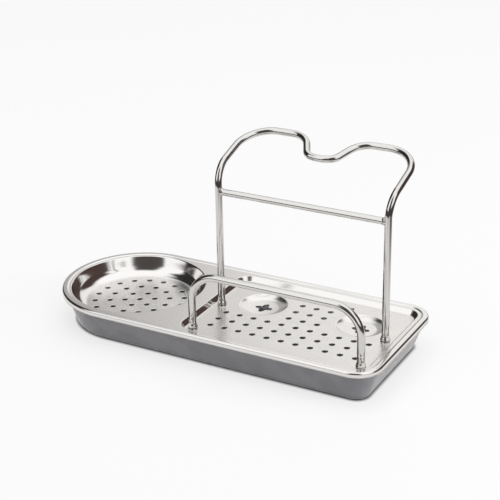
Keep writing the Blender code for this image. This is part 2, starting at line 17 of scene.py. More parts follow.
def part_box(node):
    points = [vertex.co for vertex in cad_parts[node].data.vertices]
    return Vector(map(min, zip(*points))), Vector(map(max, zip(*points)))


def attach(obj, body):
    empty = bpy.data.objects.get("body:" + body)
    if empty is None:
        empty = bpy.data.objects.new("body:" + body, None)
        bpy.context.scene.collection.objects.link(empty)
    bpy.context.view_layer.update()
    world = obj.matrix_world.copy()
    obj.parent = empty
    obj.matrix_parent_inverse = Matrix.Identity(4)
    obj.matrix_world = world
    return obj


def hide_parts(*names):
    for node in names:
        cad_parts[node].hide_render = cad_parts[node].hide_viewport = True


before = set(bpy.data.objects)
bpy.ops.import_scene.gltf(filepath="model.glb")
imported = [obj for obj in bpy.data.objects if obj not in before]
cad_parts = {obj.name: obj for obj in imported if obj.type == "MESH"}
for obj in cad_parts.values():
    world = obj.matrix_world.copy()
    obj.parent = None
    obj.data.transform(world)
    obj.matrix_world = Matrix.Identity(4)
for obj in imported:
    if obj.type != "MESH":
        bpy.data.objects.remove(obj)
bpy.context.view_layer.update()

LOG = logging.getLogger("sink_organizer")

Point = tuple[float, float]
Triple = tuple[float, float, float]
Loop = list[Vector]
WirePath = list[tuple[Vector, float]]
SocketList = Sequence[tuple[str, str, object]]
Socket, Node, Tree = bpy.types.NodeSocket, bpy.types.Node, bpy.types.NodeTree
Shade, Mesh, Piece = bpy.types.Material, bpy.types.Mesh, bpy.types.Object
Outputs = bpy.types.bpy_prop_collection

QUARTER = math.pi / 2
MERGE_DISTANCE = 1e-6
LEAST_EDGE = MERGE_DISTANCE / 10
ASSEMBLY_GAP = 0.0003
BEND_STEPS = 8
LEAST_MITRE = 0.5
WIRE_SIDES = 28
THREAD_SIDES = 4
THREAD_STEPS = 20
SHARP_ANGLE = math.radians(25.0)
GRAIN_BAND = (0.35, 0.65)
CLOUD_BAND = (0.38, 0.62)
SHADER_TREE = "ShaderNodeTree"
POLISH_AND_SHADE_LAYER = "polish"
RADIUS_LAYER = "wire_radius"


class Body(Enum):
    """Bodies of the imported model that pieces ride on."""

    TRAY = "tray"
    STRAINER = "strainer"


class Slot(Enum):
    """Material slots of the record."""

    SMOKE_PLASTIC = "smoke_plastic"
    PLATE_STEEL = "plate_steel"
    WIRE_STEEL = "wire_steel"
    FASTENER_STEEL = "fastener_steel"


class Polish(float, Enum):
    """How far each region of a piece is polished, from satin (0) to mirror (1); on the tray, from
    painted shade (0) to its own colour (1).
    """

    RIM = 0.86
    PLATFORM = 0.54
    DISH_WALL = 1.0
    DISH_FLOOR = 0.70
    RECESS_WALL = 0.95
    RECESS_FLOOR = 0.48
    DIMPLE = 0.80
    CUT_EDGE = 0.60
    UNDERSIDE = 0.30
    WIRE = 1.0
    FASTENER = 0.5
    # For the tray the value sets painted shade: 0 is shaded, 1 is its own colour.
    TRAY = 1.0
    TRAY_FLOOR = 0.0


# Node trees


class Nodes:
    """Short way to add and link the nodes of one tree."""

    def __init__(self, tree: Tree) -> None:
        """Keep the tree and empty it."""
        self.tree = tree
        tree.nodes.clear()

    def node(self, kind: str, values: Optional[dict] = None, **settings: object) -> Node:
        """Add a node, set its properties, then its input sockets.

        Args:
            kind: Node type.
            values: Socket name or index to a plain value or to an output socket to link.
            settings: Node properties.

        Returns:
            The new node.
        """
        node = self.tree.nodes.new(kind)
        for name, value in settings.items():
            setattr(node, name, value)
        for key, value in (values or {}).items():
            if isinstance(value, Socket):
                self.tree.links.new(value, node.inputs[key])
            else:
                node.inputs[key].default_value = value
        return node

    def add(self, kind: str, values: Optional[dict] = None, **settings: object) -> Socket:
        """Add a node and return its first output."""
        return self.node(kind, values, **settings).outputs[0]

    def group(self, tree: Tree, values: dict) -> Outputs:
        """Add a shader node group and return its outputs."""
        return self.node("ShaderNodeGroup", values, node_tree=tree).outputs

    def math(self, operation: str, first: object, second: object = 0.0,
             clamp: bool = False) -> Socket:
        """Add a Math node and return its output."""
        return self.add("ShaderNodeMath", {0: first, 1: second}, operation=operation,
                        use_clamp=clamp)

    def vector(self, operation: str, first: object, second: object) -> Socket:
        """Add a Vector Math node and return its vector."""
        key = "Scale" if operation == "SCALE" else 1
        return self.add("ShaderNodeVectorMath", {0: first, key: second}, operation=operation)

    def mix(self, share: object, first: object, second: object) -> Socket:
        """Mix two colours.

        Args:
            share: Share of the second colour, a number or an output socket.
            first: Colour, or output socket.
            second: Colour, or output socket.

        Returns:
            The mixed colour.
        """
        first, second = ((*colour, 1.0) if isinstance(colour, tuple) else colour
                         for colour in (first, second))
        node = self.node("ShaderNodeMix", {0: share, 6: first, 7: second}, data_type="RGBA")
        return node.outputs[2]

    def remap(self, value: object, low: object, high: object, to_low: float = 0.0,
              to_high: float = 1.0, smooth: bool = False) -> Socket:
        """Map a range of values to another one.

        Args:
            value: Output socket to map.
            low: Start of the range.
            high: End of the range.
            to_low: Result at the start.
            to_high: Result at the end.
            smooth: Ease in and out.

        Returns:
            The mapped value.
        """
        return self.add("ShaderNodeMapRange", {
            0: value, 1: low, 2: high, 3: to_low, 4: to_high},
            interpolation_type="SMOOTHSTEP" if smooth else "LINEAR")


def open_tree(name: str, kind: str, inputs: SocketList,
              outputs: Sequence[str]) -> tuple[Nodes, Outputs]:
    """Make a node tree with named inputs and outputs.

    Args:
        name: Name of the tree.
        kind: Type of the tree.
        inputs: Name, kind and default of each input. None keeps the default.
        outputs: Name of each output, which is a geometry or else a number.

    Returns:
        The node helper and the outputs of its group input node.
    """
    tree = bpy.data.node_groups.new(name, kind)
    for label, form, default in inputs:
        socket = tree.interface.new_socket(label, in_out="INPUT",
                                           socket_type="NodeSocket" + form)
        if default is not None:
            socket.default_value = default
    for label in outputs:
        form = "Geometry" if label == "Geometry" else "Float"
        tree.interface.new_socket(label, in_out="OUTPUT", socket_type="NodeSocket" + form)
    nodes = Nodes(tree)
    return nodes, nodes.node("NodeGroupInput").outputs


def new_material(name: str) -> tuple[Shade, Nodes, Socket]:
    """Make an empty material.

    Args:
        name: Name of the material.

    Returns:
        The material, its node helper and the position on the piece.
    """
    shade = bpy.data.materials.new(name)
    shade.use_nodes = True
    nodes = Nodes(shade.node_tree)
    return shade, nodes, nodes.node("ShaderNodeTexCoord").outputs["Object"]


class SurfaceEffects:
    """Shader node groups that several finishes share."""

    def __init__(self) -> None:
        """Build the groups once."""
        self.grain = self.build_grain()
        self.handling = self.build_handling()
        self.rings = self.build_rings()

    @staticmethod
    def build_grain() -> Tree:
        """Fine speckle and faint rolling lines of a metal surface, as height and mask.

        Returns:
            The group.
        """
        nodes, given = open_tree("surface_grain", SHADER_TREE, [
            ("Vector", "Vector", None),
            ("Speckle Scale", "Float", 1500.0),
            ("Line Scale", "Vector", (60.0, 2600.0, 2600.0)),
            ("Line Share", "Float", 0.4),
        ], ["Height", "Mask"])
        speckle = nodes.add("ShaderNodeTexNoise", {
            "Vector": given["Vector"], "Scale": given["Speckle Scale"], "Detail": 2.0,
            "Roughness": 0.6})
        lines = nodes.add("ShaderNodeTexNoise", {
            "Vector": nodes.vector("MULTIPLY", given["Vector"], given["Line Scale"]),
            "Scale": 1.0, "Detail": 3.0, "Roughness": 0.55})
        height = nodes.add("ShaderNodeMix", {0: given["Line Share"], 2: speckle, 3: lines},
                           data_type="FLOAT")
        nodes.node("NodeGroupOutput", {
            "Height": height, "Mask": nodes.remap(height, *GRAIN_BAND, smooth=True)})
        return nodes.tree

    @staticmethod
    def build_handling() -> Tree:
        """Soft uneven cloudiness of a surface that has been wiped and handled, as a mask.

        Returns:
            The group.
        """
        nodes, given = open_tree("handling_cloud", SHADER_TREE, [
            ("Vector", "Vector", None), ("Scale", "Float", 40.0)], ["Mask"])
        cloud = nodes.add("ShaderNodeTexNoise", {
            "Vector": given["Vector"], "Scale": given["Scale"], "Detail": 3.0,
            "Roughness": 0.5, "Distortion": 0.4})
        nodes.node("NodeGroupOutput", {"Mask": nodes.remap(cloud, *CLOUD_BAND, smooth=True)})
        return nodes.tree

    @staticmethod
    def build_rings() -> Tree:
        """Fine ring lines around a point, left by a turning brush, as a height.

        Returns:
            The group.
        """
        nodes, given = open_tree("ring_lines", SHADER_TREE, [
            ("Vector", "Vector", None),
            ("Centre", "Vector", (0.0, 0.0, 0.0)),
            ("Radius", "Float", 0.04),
            ("Soft", "Float", 0.004),
            ("Scale", "Float", 2500.0),
        ], ["Height"])
        offset = nodes.vector("SUBTRACT", given["Vector"], given["Centre"])
        flat = nodes.vector("MULTIPLY", offset, (1.0, 1.0, 0.0))
        reach = nodes.node("ShaderNodeVectorMath", {0: flat}, operation="LENGTH").outputs["Value"]
        lines = nodes.add("ShaderNodeTexNoise", {
            "W": reach, "Scale": given["Scale"], "Detail": 2.0, "Roughness": 0.6},
            noise_dimensions="1D")
        edge = nodes.math("SUBTRACT", given["Radius"], given["Soft"])
        mask = nodes.remap(reach, edge, given["Radius"], 1.0, 0.0, smooth=True)
        nodes.node("NodeGroupOutput", {"Height": nodes.math("MULTIPLY", lines, mask)})
        return nodes.tree


# Finishes


@dataclass(frozen=True)
class RingLines:
    """Ring lines of a turned face around one point."""

    centre: Triple
    radius: float
    soft: float
    scale: float
    height: float


@dataclass(frozen=True)
class SteelFinish:
    """Stainless steel whose gloss follows the polish of the surface."""

    name: str
    light: Triple
    dark: Triple
    satin_roughness: float
    mirror_roughness: float
    speckle_scale: float
    line_scale: Triple
    line_share: float
    grain_height: float
    grain_roughness: float
    cloud_roughness: float = 0.03
    polish: Optional[float] = None
    rings: Optional[RingLines] = None

    def build(self, effects: SurfaceEffects) -> Shade:
        """Build the material.

        Args:
            effects: Shared node groups.

        Returns:
            The material.
        """
        shade, nodes, place = new_material(self.name)
        grain = nodes.group(effects.grain, {
            "Vector": place, "Speckle Scale": self.speckle_scale,
            "Line Scale": self.line_scale, "Line Share": self.line_share})
        cloud = nodes.group(effects.handling, {"Vector": place})
        polish = self.polish
        if polish is None:
            polish = nodes.node("ShaderNodeAttribute", attribute_name=POLISH_AND_SHADE_LAYER).outputs["Fac"]
        satin = nodes.math("SUBTRACT", 1.0, polish, clamp=True)
        level = nodes.remap(satin, 0.0, 1.0, self.mirror_roughness, self.satin_roughness)
        uneven = nodes.math("MULTIPLY", nodes.math("SUBTRACT", grain["Mask"], 0.5),
                            nodes.math("MULTIPLY", satin, self.grain_roughness))
        soft = nodes.math("MULTIPLY", nodes.math("SUBTRACT", cloud["Mask"], 0.5),
                          self.cloud_roughness)
        rough = nodes.math("ADD", nodes.math("ADD", level, uneven), soft, clamp=True)
        tone = nodes.math("MULTIPLY", grain["Mask"], satin)
        normal = nodes.add("ShaderNodeBump", {
            "Strength": 1.0, "Distance": self.grain_height,
            "Height": nodes.math("MULTIPLY", grain["Height"], satin)})
        if self.rings is not None:
            lines = nodes.group(effects.rings, {
                "Vector": place, "Centre": self.rings.centre, "Radius": self.rings.radius,
                "Soft": self.rings.soft, "Scale": self.rings.scale})
            normal = nodes.add("ShaderNodeBump", {
                "Strength": 1.0, "Distance": self.rings.height, "Height": lines["Height"],
                "Normal": normal})
        steel = nodes.add("ShaderNodeBsdfPrincipled", {
            "Base Color": nodes.mix(tone, self.light, self.dark), "Metallic": 1.0,
            "Roughness": rough, "Normal": normal})
        nodes.node("ShaderNodeOutputMaterial", {"Surface": steel})
        return shade


@dataclass(frozen=True)
class SmokeFinish:
    """Translucent smoke-grey moulded plastic, with painted shade where its polish value is 0."""

    name: str
    light: Triple
    dark: Triple
    painted_floor_shade: Triple
    roughness: float
    transmission: float
    ior: float
    cloud_scale: float = 55.0
    cloud_roughness: float = 0.2

    def build(self, effects: SurfaceEffects) -> Shade:
        """Build the material.

        Args:
            effects: Shared node groups.

        Returns:
            The material.
        """
        shade, nodes, place = new_material(self.name)
        mask = nodes.group(effects.handling, {"Vector": place, "Scale": self.cloud_scale})["Mask"]
        # On the tray the polish attribute picks the colour: 0, on the floor inside, paints it in
        # shade as if under the plate.
        polish = nodes.node("ShaderNodeAttribute", attribute_name=POLISH_AND_SHADE_LAYER).outputs["Fac"]
        colour = nodes.mix(polish, self.painted_floor_shade, nodes.mix(mask, self.light, self.dark))
        rough = nodes.remap(mask, 0.0, 1.0, self.roughness * (1 - self.cloud_roughness),
                            self.roughness * (1 + self.cloud_roughness))
        plastic = nodes.add("ShaderNodeBsdfPrincipled", {
            "Base Color": colour, "Metallic": 0.0, "Roughness": rough, "IOR": self.ior,
            "Transmission Weight": self.transmission})
        nodes.node("ShaderNodeOutputMaterial", {"Surface": plastic})
        return shade


@dataclass(frozen=True)
class FloorFinish:
    """White studio floor that keeps soft shadows and has painted contact shade, and that metal
    reflects as a white sweep.
    """

    dark_surround: Triple
    colour: Triple = (0.97, 0.97, 0.98)
    mirrored: Triple = (0.86, 0.85, 0.84)
    glow: float = 0.72
    tone_scale: float = 3.0
    tone_band: Point = (0.3, 0.7)
    tone_low: float = 0.995
    painted_shade_reach: float = 0.0024
    painted_shade_power: float = 2.0
    painted_shade_samples: int = 16
    sweep_azimuth: float = math.radians(-20.0)
    sweep_shift: float = -0.05
    sweep_half_width: float = 0.24
    sweep_front: float = 0.24
    sweep_soft: float = 0.15

    def build(self) -> Shade:
        """Build the material.

        Returns:
            The material.
        """
        shade, nodes, place = new_material("studio_white")
        cloud = nodes.add("ShaderNodeTexNoise", {
            "Vector": place, "Scale": self.tone_scale, "Detail": 2.0})
        tone = nodes.remap(cloud, *self.tone_band, self.tone_low, 1.0)
        # Ambient occlusion darkens the floor colour and cuts its glow near the object: painted
        # contact shade.
        shadow = nodes.node("ShaderNodeAmbientOcclusion", {"Distance": self.painted_shade_reach},
                            samples=self.painted_shade_samples).outputs["AO"]
        painted_shade_factor = nodes.math("POWER", shadow, self.painted_shade_power)
        colour = nodes.vector("SCALE", nodes.vector("SCALE", self.colour, tone), painted_shade_factor)
        matt = nodes.add("ShaderNodeBsdfDiffuse", {"Color": colour})
        white = nodes.add("ShaderNodeEmission", {"Color": (1.0, 1.0, 1.0, 1.0)})
        path = nodes.node("ShaderNodeLightPath").outputs
        seen = nodes.math("MAXIMUM", path["Is Camera Ray"], path["Is Transmission Ray"])
        share = nodes.math("MULTIPLY", seen, nodes.math("MULTIPLY", painted_shade_factor, self.glow))
        lit = nodes.add("ShaderNodeMixShader", {0: share, 1: matt, 2: white})
        mirror = nodes.add("ShaderNodeEmission", {"Color": nodes.mix(
            self.past_sweep(nodes, place), self.mirrored, self.dark_surround)})
        surface = nodes.add("ShaderNodeMixShader", {
            0: path["Is Glossy Ray"], 1: lit, 2: mirror})
        nodes.node("ShaderNodeOutputMaterial", {"Surface": surface})
        return shade

    def past_sweep(self, nodes: Nodes, place: Socket) -> Socket:
        """Mask of the floor outside the white sweep, which metal reflects as the dark room.

        Args:
            nodes: The node helper.
            place: Position on the floor.

        Returns:
            The mask.
        """
        turned = nodes.add("ShaderNodeVectorRotate", {
            "Vector": place, "Angle": self.sweep_azimuth}, rotation_type="Z_AXIS")
        parts = nodes.node("ShaderNodeSeparateXYZ", {0: turned}).outputs
        side = nodes.math("ABSOLUTE", nodes.math("SUBTRACT", parts[0], self.sweep_shift))
        beside = nodes.remap(side, self.sweep_half_width,
                             self.sweep_half_width + self.sweep_soft, smooth=True)
        before = nodes.remap(parts[1], -self.sweep_front - self.sweep_soft, -self.sweep_front,
                             1.0, 0.0, smooth=True)
        return nodes.math("MAXIMUM", beside, before)


# Geometry node trees


class GeometryTrees:
    """Geometry node trees for perforated floors, punched edges, wires and threads."""

    def __init__(self) -> None:
        """Build the trees once."""
        self.perforated_floor = self.build_perforated_floor()
        self.punched_edges = self.build_punched_edges()
        self.round_wire = self.build_round_wire()
        self.stud_thread = self.build_stud_thread()

    @staticmethod
    def start(name: str, inputs: SocketList) -> tuple[Nodes, Outputs]:
        """Start a tree with a geometry input and output and a material input.

        Args:
            name: Name of the tree.
            inputs: Its further inputs.

        Returns:
            The node helper and the outputs of its group input node.
        """
        nodes, given = open_tree(name, "GeometryNodeTree", [
            ("Geometry", "Geometry", None), *inputs, ("Material", "Material", None)],
            ["Geometry"])
        nodes.tree.is_modifier = True
        return nodes, given

    @staticmethod
    def end(nodes: Nodes, given: Outputs, geometry: Socket) -> Tree:
        """End a tree with Realize Instances, smooth shading and Set Material.

        Args:
            nodes: The node helper.
            given: The outputs of the group input node.
            geometry: The finished geometry.

        Returns:
            The tree.
        """
        real = nodes.add("GeometryNodeRealizeInstances", {"Geometry": geometry})
        smooth = nodes.add("GeometryNodeSetShadeSmooth", {"Geometry": real})
        shaded = nodes.add("GeometryNodeSetMaterial", {
            "Geometry": smooth, "Material": given["Material"]})
        nodes.node("NodeGroupOutput", {"Geometry": shaded})
        return nodes.tree

    @classmethod
    def build_perforated_floor(cls) -> Tree:
        """Flat sheet inside outline loops, with a round hole at every hole point.

        Returns:
            The tree.
        """
        nodes, given = cls.start("perforated_floor", [
            ("Hole Points", "Object", None),
            ("Hole Radius", "Float", 0.002),
            ("Hole Sides", "Int", 20),
            ("Level", "Float", 0.0),
            ("Polish", "Float", 0.5),
        ])
        outline = nodes.add("GeometryNodeMeshToCurve", {"Mesh": given["Geometry"]})
        centres = nodes.node("GeometryNodeObjectInfo", {"Object": given["Hole Points"]})
        points = nodes.add("GeometryNodeMeshToPoints", {"Mesh": centres.outputs["Geometry"]})
        ring = nodes.add("GeometryNodeCurvePrimitiveCircle", {
            "Resolution": given["Hole Sides"], "Radius": given["Hole Radius"]})
        holes = nodes.add("GeometryNodeInstanceOnPoints", {"Points": points, "Instance": ring})
        loops = nodes.node("GeometryNodeJoinGeometry")
        for curves in (outline, nodes.add("GeometryNodeRealizeInstances", {"Geometry": holes})):
            nodes.tree.links.new(curves, loops.inputs[0])
        sheet = nodes.add("GeometryNodeFillCurve", {"Curve": loops.outputs[0]})
        raised = nodes.add("GeometryNodeTransform", {
            "Geometry": sheet,
            "Translation": nodes.add("ShaderNodeCombineXYZ", {"Z": given["Level"]})})
        stored = nodes.add("GeometryNodeStoreNamedAttribute", {
            "Geometry": raised, "Name": POLISH_AND_SHADE_LAYER, "Value": given["Polish"]},
            data_type="FLOAT", domain="POINT")
        return cls.end(nodes, given, stored)

    @classmethod
    def build_punched_edges(cls) -> Tree:
        """The same punched edge at every hole point.

        Returns:
            The tree.
        """
        nodes, given = cls.start("punched_edges", [("Edge", "Object", None)])
        points = nodes.add("GeometryNodeMeshToPoints", {"Mesh": given["Geometry"]})
        edge = nodes.node("GeometryNodeObjectInfo", {"Object": given["Edge"]})
        return cls.end(nodes, given, nodes.add("GeometryNodeInstanceOnPoints", {
            "Points": points, "Instance": edge.outputs["Geometry"]}))

    @classmethod
    def build_round_wire(cls) -> Tree:
        """Round wire along a path that carries its radius in the attribute wire_radius.

        Returns:
            The tree.
        """
        nodes, given = cls.start("round_wire", [("Sides", "Int", WIRE_SIDES)])
        path = nodes.add("GeometryNodeMeshToCurve", {"Mesh": given["Geometry"]})
        section = nodes.add("GeometryNodeCurvePrimitiveCircle", {
            "Resolution": given["Sides"], "Radius": 1.0})
        radius = nodes.node("GeometryNodeInputNamedAttribute", {"Name": RADIUS_LAYER},
                            data_type="FLOAT").outputs["Attribute"]
        return cls.end(nodes, given, nodes.add("GeometryNodeCurveToMesh", {
            "Curve": path, "Profile Curve": section, "Scale": radius, "Fill Caps": True}))

    @classmethod
    def build_stud_thread(cls) -> Tree:
        """Helical thread ridge that climbs from every point.

        Returns:
            The tree.
        """
        nodes, given = cls.start("stud_thread", [
            ("Turns", "Float", 6.0),
            ("Pitch", "Float", 0.0007),
            ("Radius", "Float", 0.002),
            ("Ridge", "Float", 0.0002),
        ])
        helix = nodes.add("GeometryNodeCurveSpiral", {
            "Resolution": THREAD_STEPS, "Rotations": given["Turns"],
            "Start Radius": given["Radius"], "End Radius": given["Radius"],
            "Height": nodes.math("MULTIPLY", given["Turns"], given["Pitch"])})
        section = nodes.add("GeometryNodeCurvePrimitiveCircle", {
            "Resolution": THREAD_SIDES, "Radius": given["Ridge"]})
        ridge = nodes.add("GeometryNodeCurveToMesh", {
            "Curve": helix, "Profile Curve": section, "Fill Caps": True})
        points = nodes.add("GeometryNodeMeshToPoints", {"Mesh": given["Geometry"]})
        return cls.end(nodes, given, nodes.add("GeometryNodeInstanceOnPoints", {
            "Points": points, "Instance": ridge}))


def linked(name: str, data: bpy.types.ID) -> Piece:
    """Add an object to the scene.

    Args:
        name: Name of the object.
        data: Its mesh, lamp or camera.

    Returns:
        The object.
    """
    item = bpy.data.objects.new(name, data)
    bpy.context.scene.collection.objects.link(item)
    return item


def new_mesh(name: str, points: Iterable, edges: Iterable = (), faces: Iterable = ()) -> Mesh:
    """Make a mesh from its points, edges and faces.

    Args:
        name: Name of the mesh.
        points: Its points.
        edges: Two point indices for each edge.
        faces: Point indices of each face.

    Returns:
        The mesh.
    """
    data = bpy.data.meshes.new(name)
    data.from_pydata(list(points), list(edges), list(faces))
    return data


def grown(tree: Tree, source: Mesh, inputs: dict) -> Mesh:
    """Run a geometry node tree on a mesh and keep the result as plain mesh data.

    Args:
        tree: The geometry node tree.
        source: Mesh that the tree starts from.
        inputs: Input name to value.

    Returns:
        The new mesh.
    """
    item = linked(tree.name + "_run", source)
    modifier = item.modifiers.new(tree.name, "NODES")
    modifier.node_group = tree
    for socket in tree.interface.items_tree:
        if socket.in_out == "INPUT" and socket.name in inputs:
            modifier[socket.identifier] = inputs[socket.name]
    bpy.context.view_layer.update()
    graph = bpy.context.evaluated_depsgraph_get()
    result = bpy.data.meshes.new_from_object(item.evaluated_get(graph))
    bpy.data.objects.remove(item, do_unlink=True)
    return result


# Plan loops and sections


def arc(centre: Point, radius: float, start: float, end: float, steps: int) -> list[Point]:
    """Points on an arc from one angle to another, both included.

    Args:
        centre: Middle of the arc.
        radius: Its radius.
        start: First angle.
        end: Last angle.
        steps: Number of steps between them.

    Returns:
        The points.
    """
    turns = [start + (end - start) * step / steps for step in range(steps + 1)]
    return [(centre[0] + radius * math.cos(turn), centre[1] + radius * math.sin(turn))
            for turn in turns]


def circle(centre: Point, radius: float, steps: int) -> list[Point]:
    """Plan circle, counter-clockwise from +X."""
    return arc(centre, radius, 0.0, 2 * math.pi, steps)[:-1]


def at_level(loop: Sequence[Point], level: float) -> Loop:
    """Lift a plan loop to one level."""
    return [Vector((x, y, level)) for x, y in loop]


def ease(share: float) -> float:
    """Ease in and out from 0 to 1."""
    return share * share * (3 - 2 * share)


def soft_ramp(share: float, bend: float) -> float:
    """Ramp from 0 to 1 that is straight but for a round bend at each end.

    Args:
        share: Place on the ramp, from 0 to 1.
        bend: Share of the ramp that each bend takes.

    Returns:
        The height of the ramp.
    """
    if share > 0.5:
        return 1.0 - soft_ramp(1.0 - share, bend)
    slope = 1.0 / (1.0 - bend)
    if share < bend:
        return slope * share * share / (2 * bend)
    return slope * (share - bend / 2)


def parallel(section: Sequence[Point], distance: float) -> list[Point]:
    """Offset an open section to its right-hand side.

    Args:
        section: Points of the section.
        distance: Offset.

    Returns:
        The offset section, with the same number of points.
    """
    result = []
    for index, point in enumerate(section):
        normals = []
        for first, second in ((index - 1, index), (index, index + 1)):
            if first < 0 or second >= len(section):
                continue
            along = Vector(section[second]) - Vector(section[first])
            if along.length > 0.0:
                along.normalize()
                normals.append(Vector((along.y, -along.x)))
        middle = sum(normals, Vector((0.0, 0.0))).normalized()
        reach = distance / max(middle.dot(normals[0]), LEAST_MITRE)
        result.append((point[0] + middle.x * reach, point[1] + middle.y * reach))
    return result


def loop_mesh(name: str, loops: Sequence[Sequence[Point]]) -> Mesh:
    """Make closed plan loops of edges on Z = 0.

    Args:
        name: Name of the mesh.
        loops: Plan loops.

    Returns:
        The mesh.
    """
    points: list[Triple] = []
    edges: list[tuple[int, int]] = []
    for loop in loops:
        start, count = len(points), len(loop)
        points += [(x, y, 0.0) for x, y in loop]
        edges += [(start + index, start + (index + 1) % count) for index in range(count)]
    return new_mesh(name, points, edges)


# Mesh drafts


@dataclass
class Draft:
    """Faces of a piece with a polish value at every point (on the tray, 0 is painted shade),
    before they are merged.
    """

    points: Loop = field(default_factory=list)
    polish: list[float] = field(default_factory=list)
    faces: list[tuple[int, ...]] = field(default_factory=list)

    def add_loop(self, loop: Loop, polish: float) -> range:
        """Add one loop of points.

        Args:
            loop: The points.
            polish: Their polish.

        Returns:
            The indices of the points.
        """
        start = len(self.points)
        self.points += loop
        self.polish += [polish] * len(loop)
        return range(start, start + len(loop))

    def strips(self, loops: Sequence[Loop], polish: Union[float, Sequence[float]]) -> None:
        """Join closed loops of the same length with quads.

        Args:
            loops: The loops in order.
            polish: The polish of all loops, or of each loop.
        """
        values = [polish] * len(loops) if isinstance(polish, float) else polish
        rings = [self.add_loop(loop, value) for loop, value in zip(loops, values)]
        for first, second in zip(rings, rings[1:]):
            for index in range(len(first)):
                after = (index + 1) % len(first)
                self.faces.append((first[index], first[after], second[after], second[index]))

    def sheet(self, upper: Sequence[Point], lower: Sequence[Point], polish: Sequence[float],
              outline: Callable[[float], list[Point]]) -> None:
        """Add the upper and the lower face of a band of pressed sheet.

        Args:
            upper: Reach and level along the upper face.
            lower: Reach and level along the lower face.
            polish: The polish along the upper face.
            outline: Plan loop at a reach.
        """
        for section, values in ((upper, polish), (lower, Polish.UNDERSIDE)):
            self.strips([at_level(outline(reach), level) for reach, level in section], values)

    def cap(self, loop: Loop, polish: float) -> None:
        """Close a loop with one face."""
        self.faces.append(tuple(self.add_loop(loop, polish)))

    def add_mesh(self, data: Mesh, polish: Optional[float] = None) -> None:
        """Add the faces of a mesh and remove the mesh.

        Args:
            data: The mesh.
            polish: Polish of all its points. None reads its polish attribute.
        """
        start = len(self.points)
        self.points += [vertex.co.copy() for vertex in data.vertices]
        if polish is None:
            self.polish += [value.value for value in data.attributes[POLISH_AND_SHADE_LAYER].data]
        else:
            self.polish += [polish] * len(data.vertices)
        self.faces += [tuple(start + index for index in face.vertices) for face in data.polygons]
        bpy.data.meshes.remove(data)

    def mesh(self, name: str) -> Mesh:
        """Merge the faces into one closed mesh with outward normals.

        Args:
            name: Name of the mesh.

        Returns:
            The mesh.
        """
        data = new_mesh(name, self.points, faces=self.faces)
        layer = data.attributes.new(POLISH_AND_SHADE_LAYER, "FLOAT", "POINT")
        layer.data.foreach_set("value", [float(value) for value in self.polish])
        builder = bmesh.new()
        builder.from_mesh(data)
        bmesh.ops.remove_doubles(builder, verts=builder.verts, dist=MERGE_DISTANCE)
        bmesh.ops.dissolve_degenerate(builder, edges=builder.edges, dist=LEAST_EDGE)
        bmesh.ops.recalc_face_normals(builder, faces=builder.faces)
        if builder.calc_volume(signed=True) < 0.0:
            bmesh.ops.reverse_faces(builder, faces=builder.faces)
        for face in builder.faces:
            face.smooth = True
        open_edges = sum(1 for edge in builder.edges if len(edge.link_faces) != 2)
        if open_edges:
            LOG.warning("%s has %d open edges", name, open_edges)
        builder.to_mesh(data)
        builder.free()
        return data


def publish(name: str, data: Mesh, shade: Shade, nodes: Sequence[str],
            body: Body = Body.STRAINER) -> Piece:
    """Link a finished piece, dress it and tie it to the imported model.

    Args:
        name: Name of the piece.
        data: Its mesh, already in place.
        shade: Its material.
        nodes: CAD nodes that it stands for.
        body: Body that it rides on.

    Returns:
        The piece.
    """
    data.materials.clear()
    data.materials.append(shade)
    item = linked(name, data)
    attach(item, body.value)
    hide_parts(*nodes)
    triangles = sum(len(face.vertices) - 2 for face in data.polygons)
    LOG.info("%s: %d triangles, rides on %s", name, triangles, body.value)
    return item


# Strainer plate


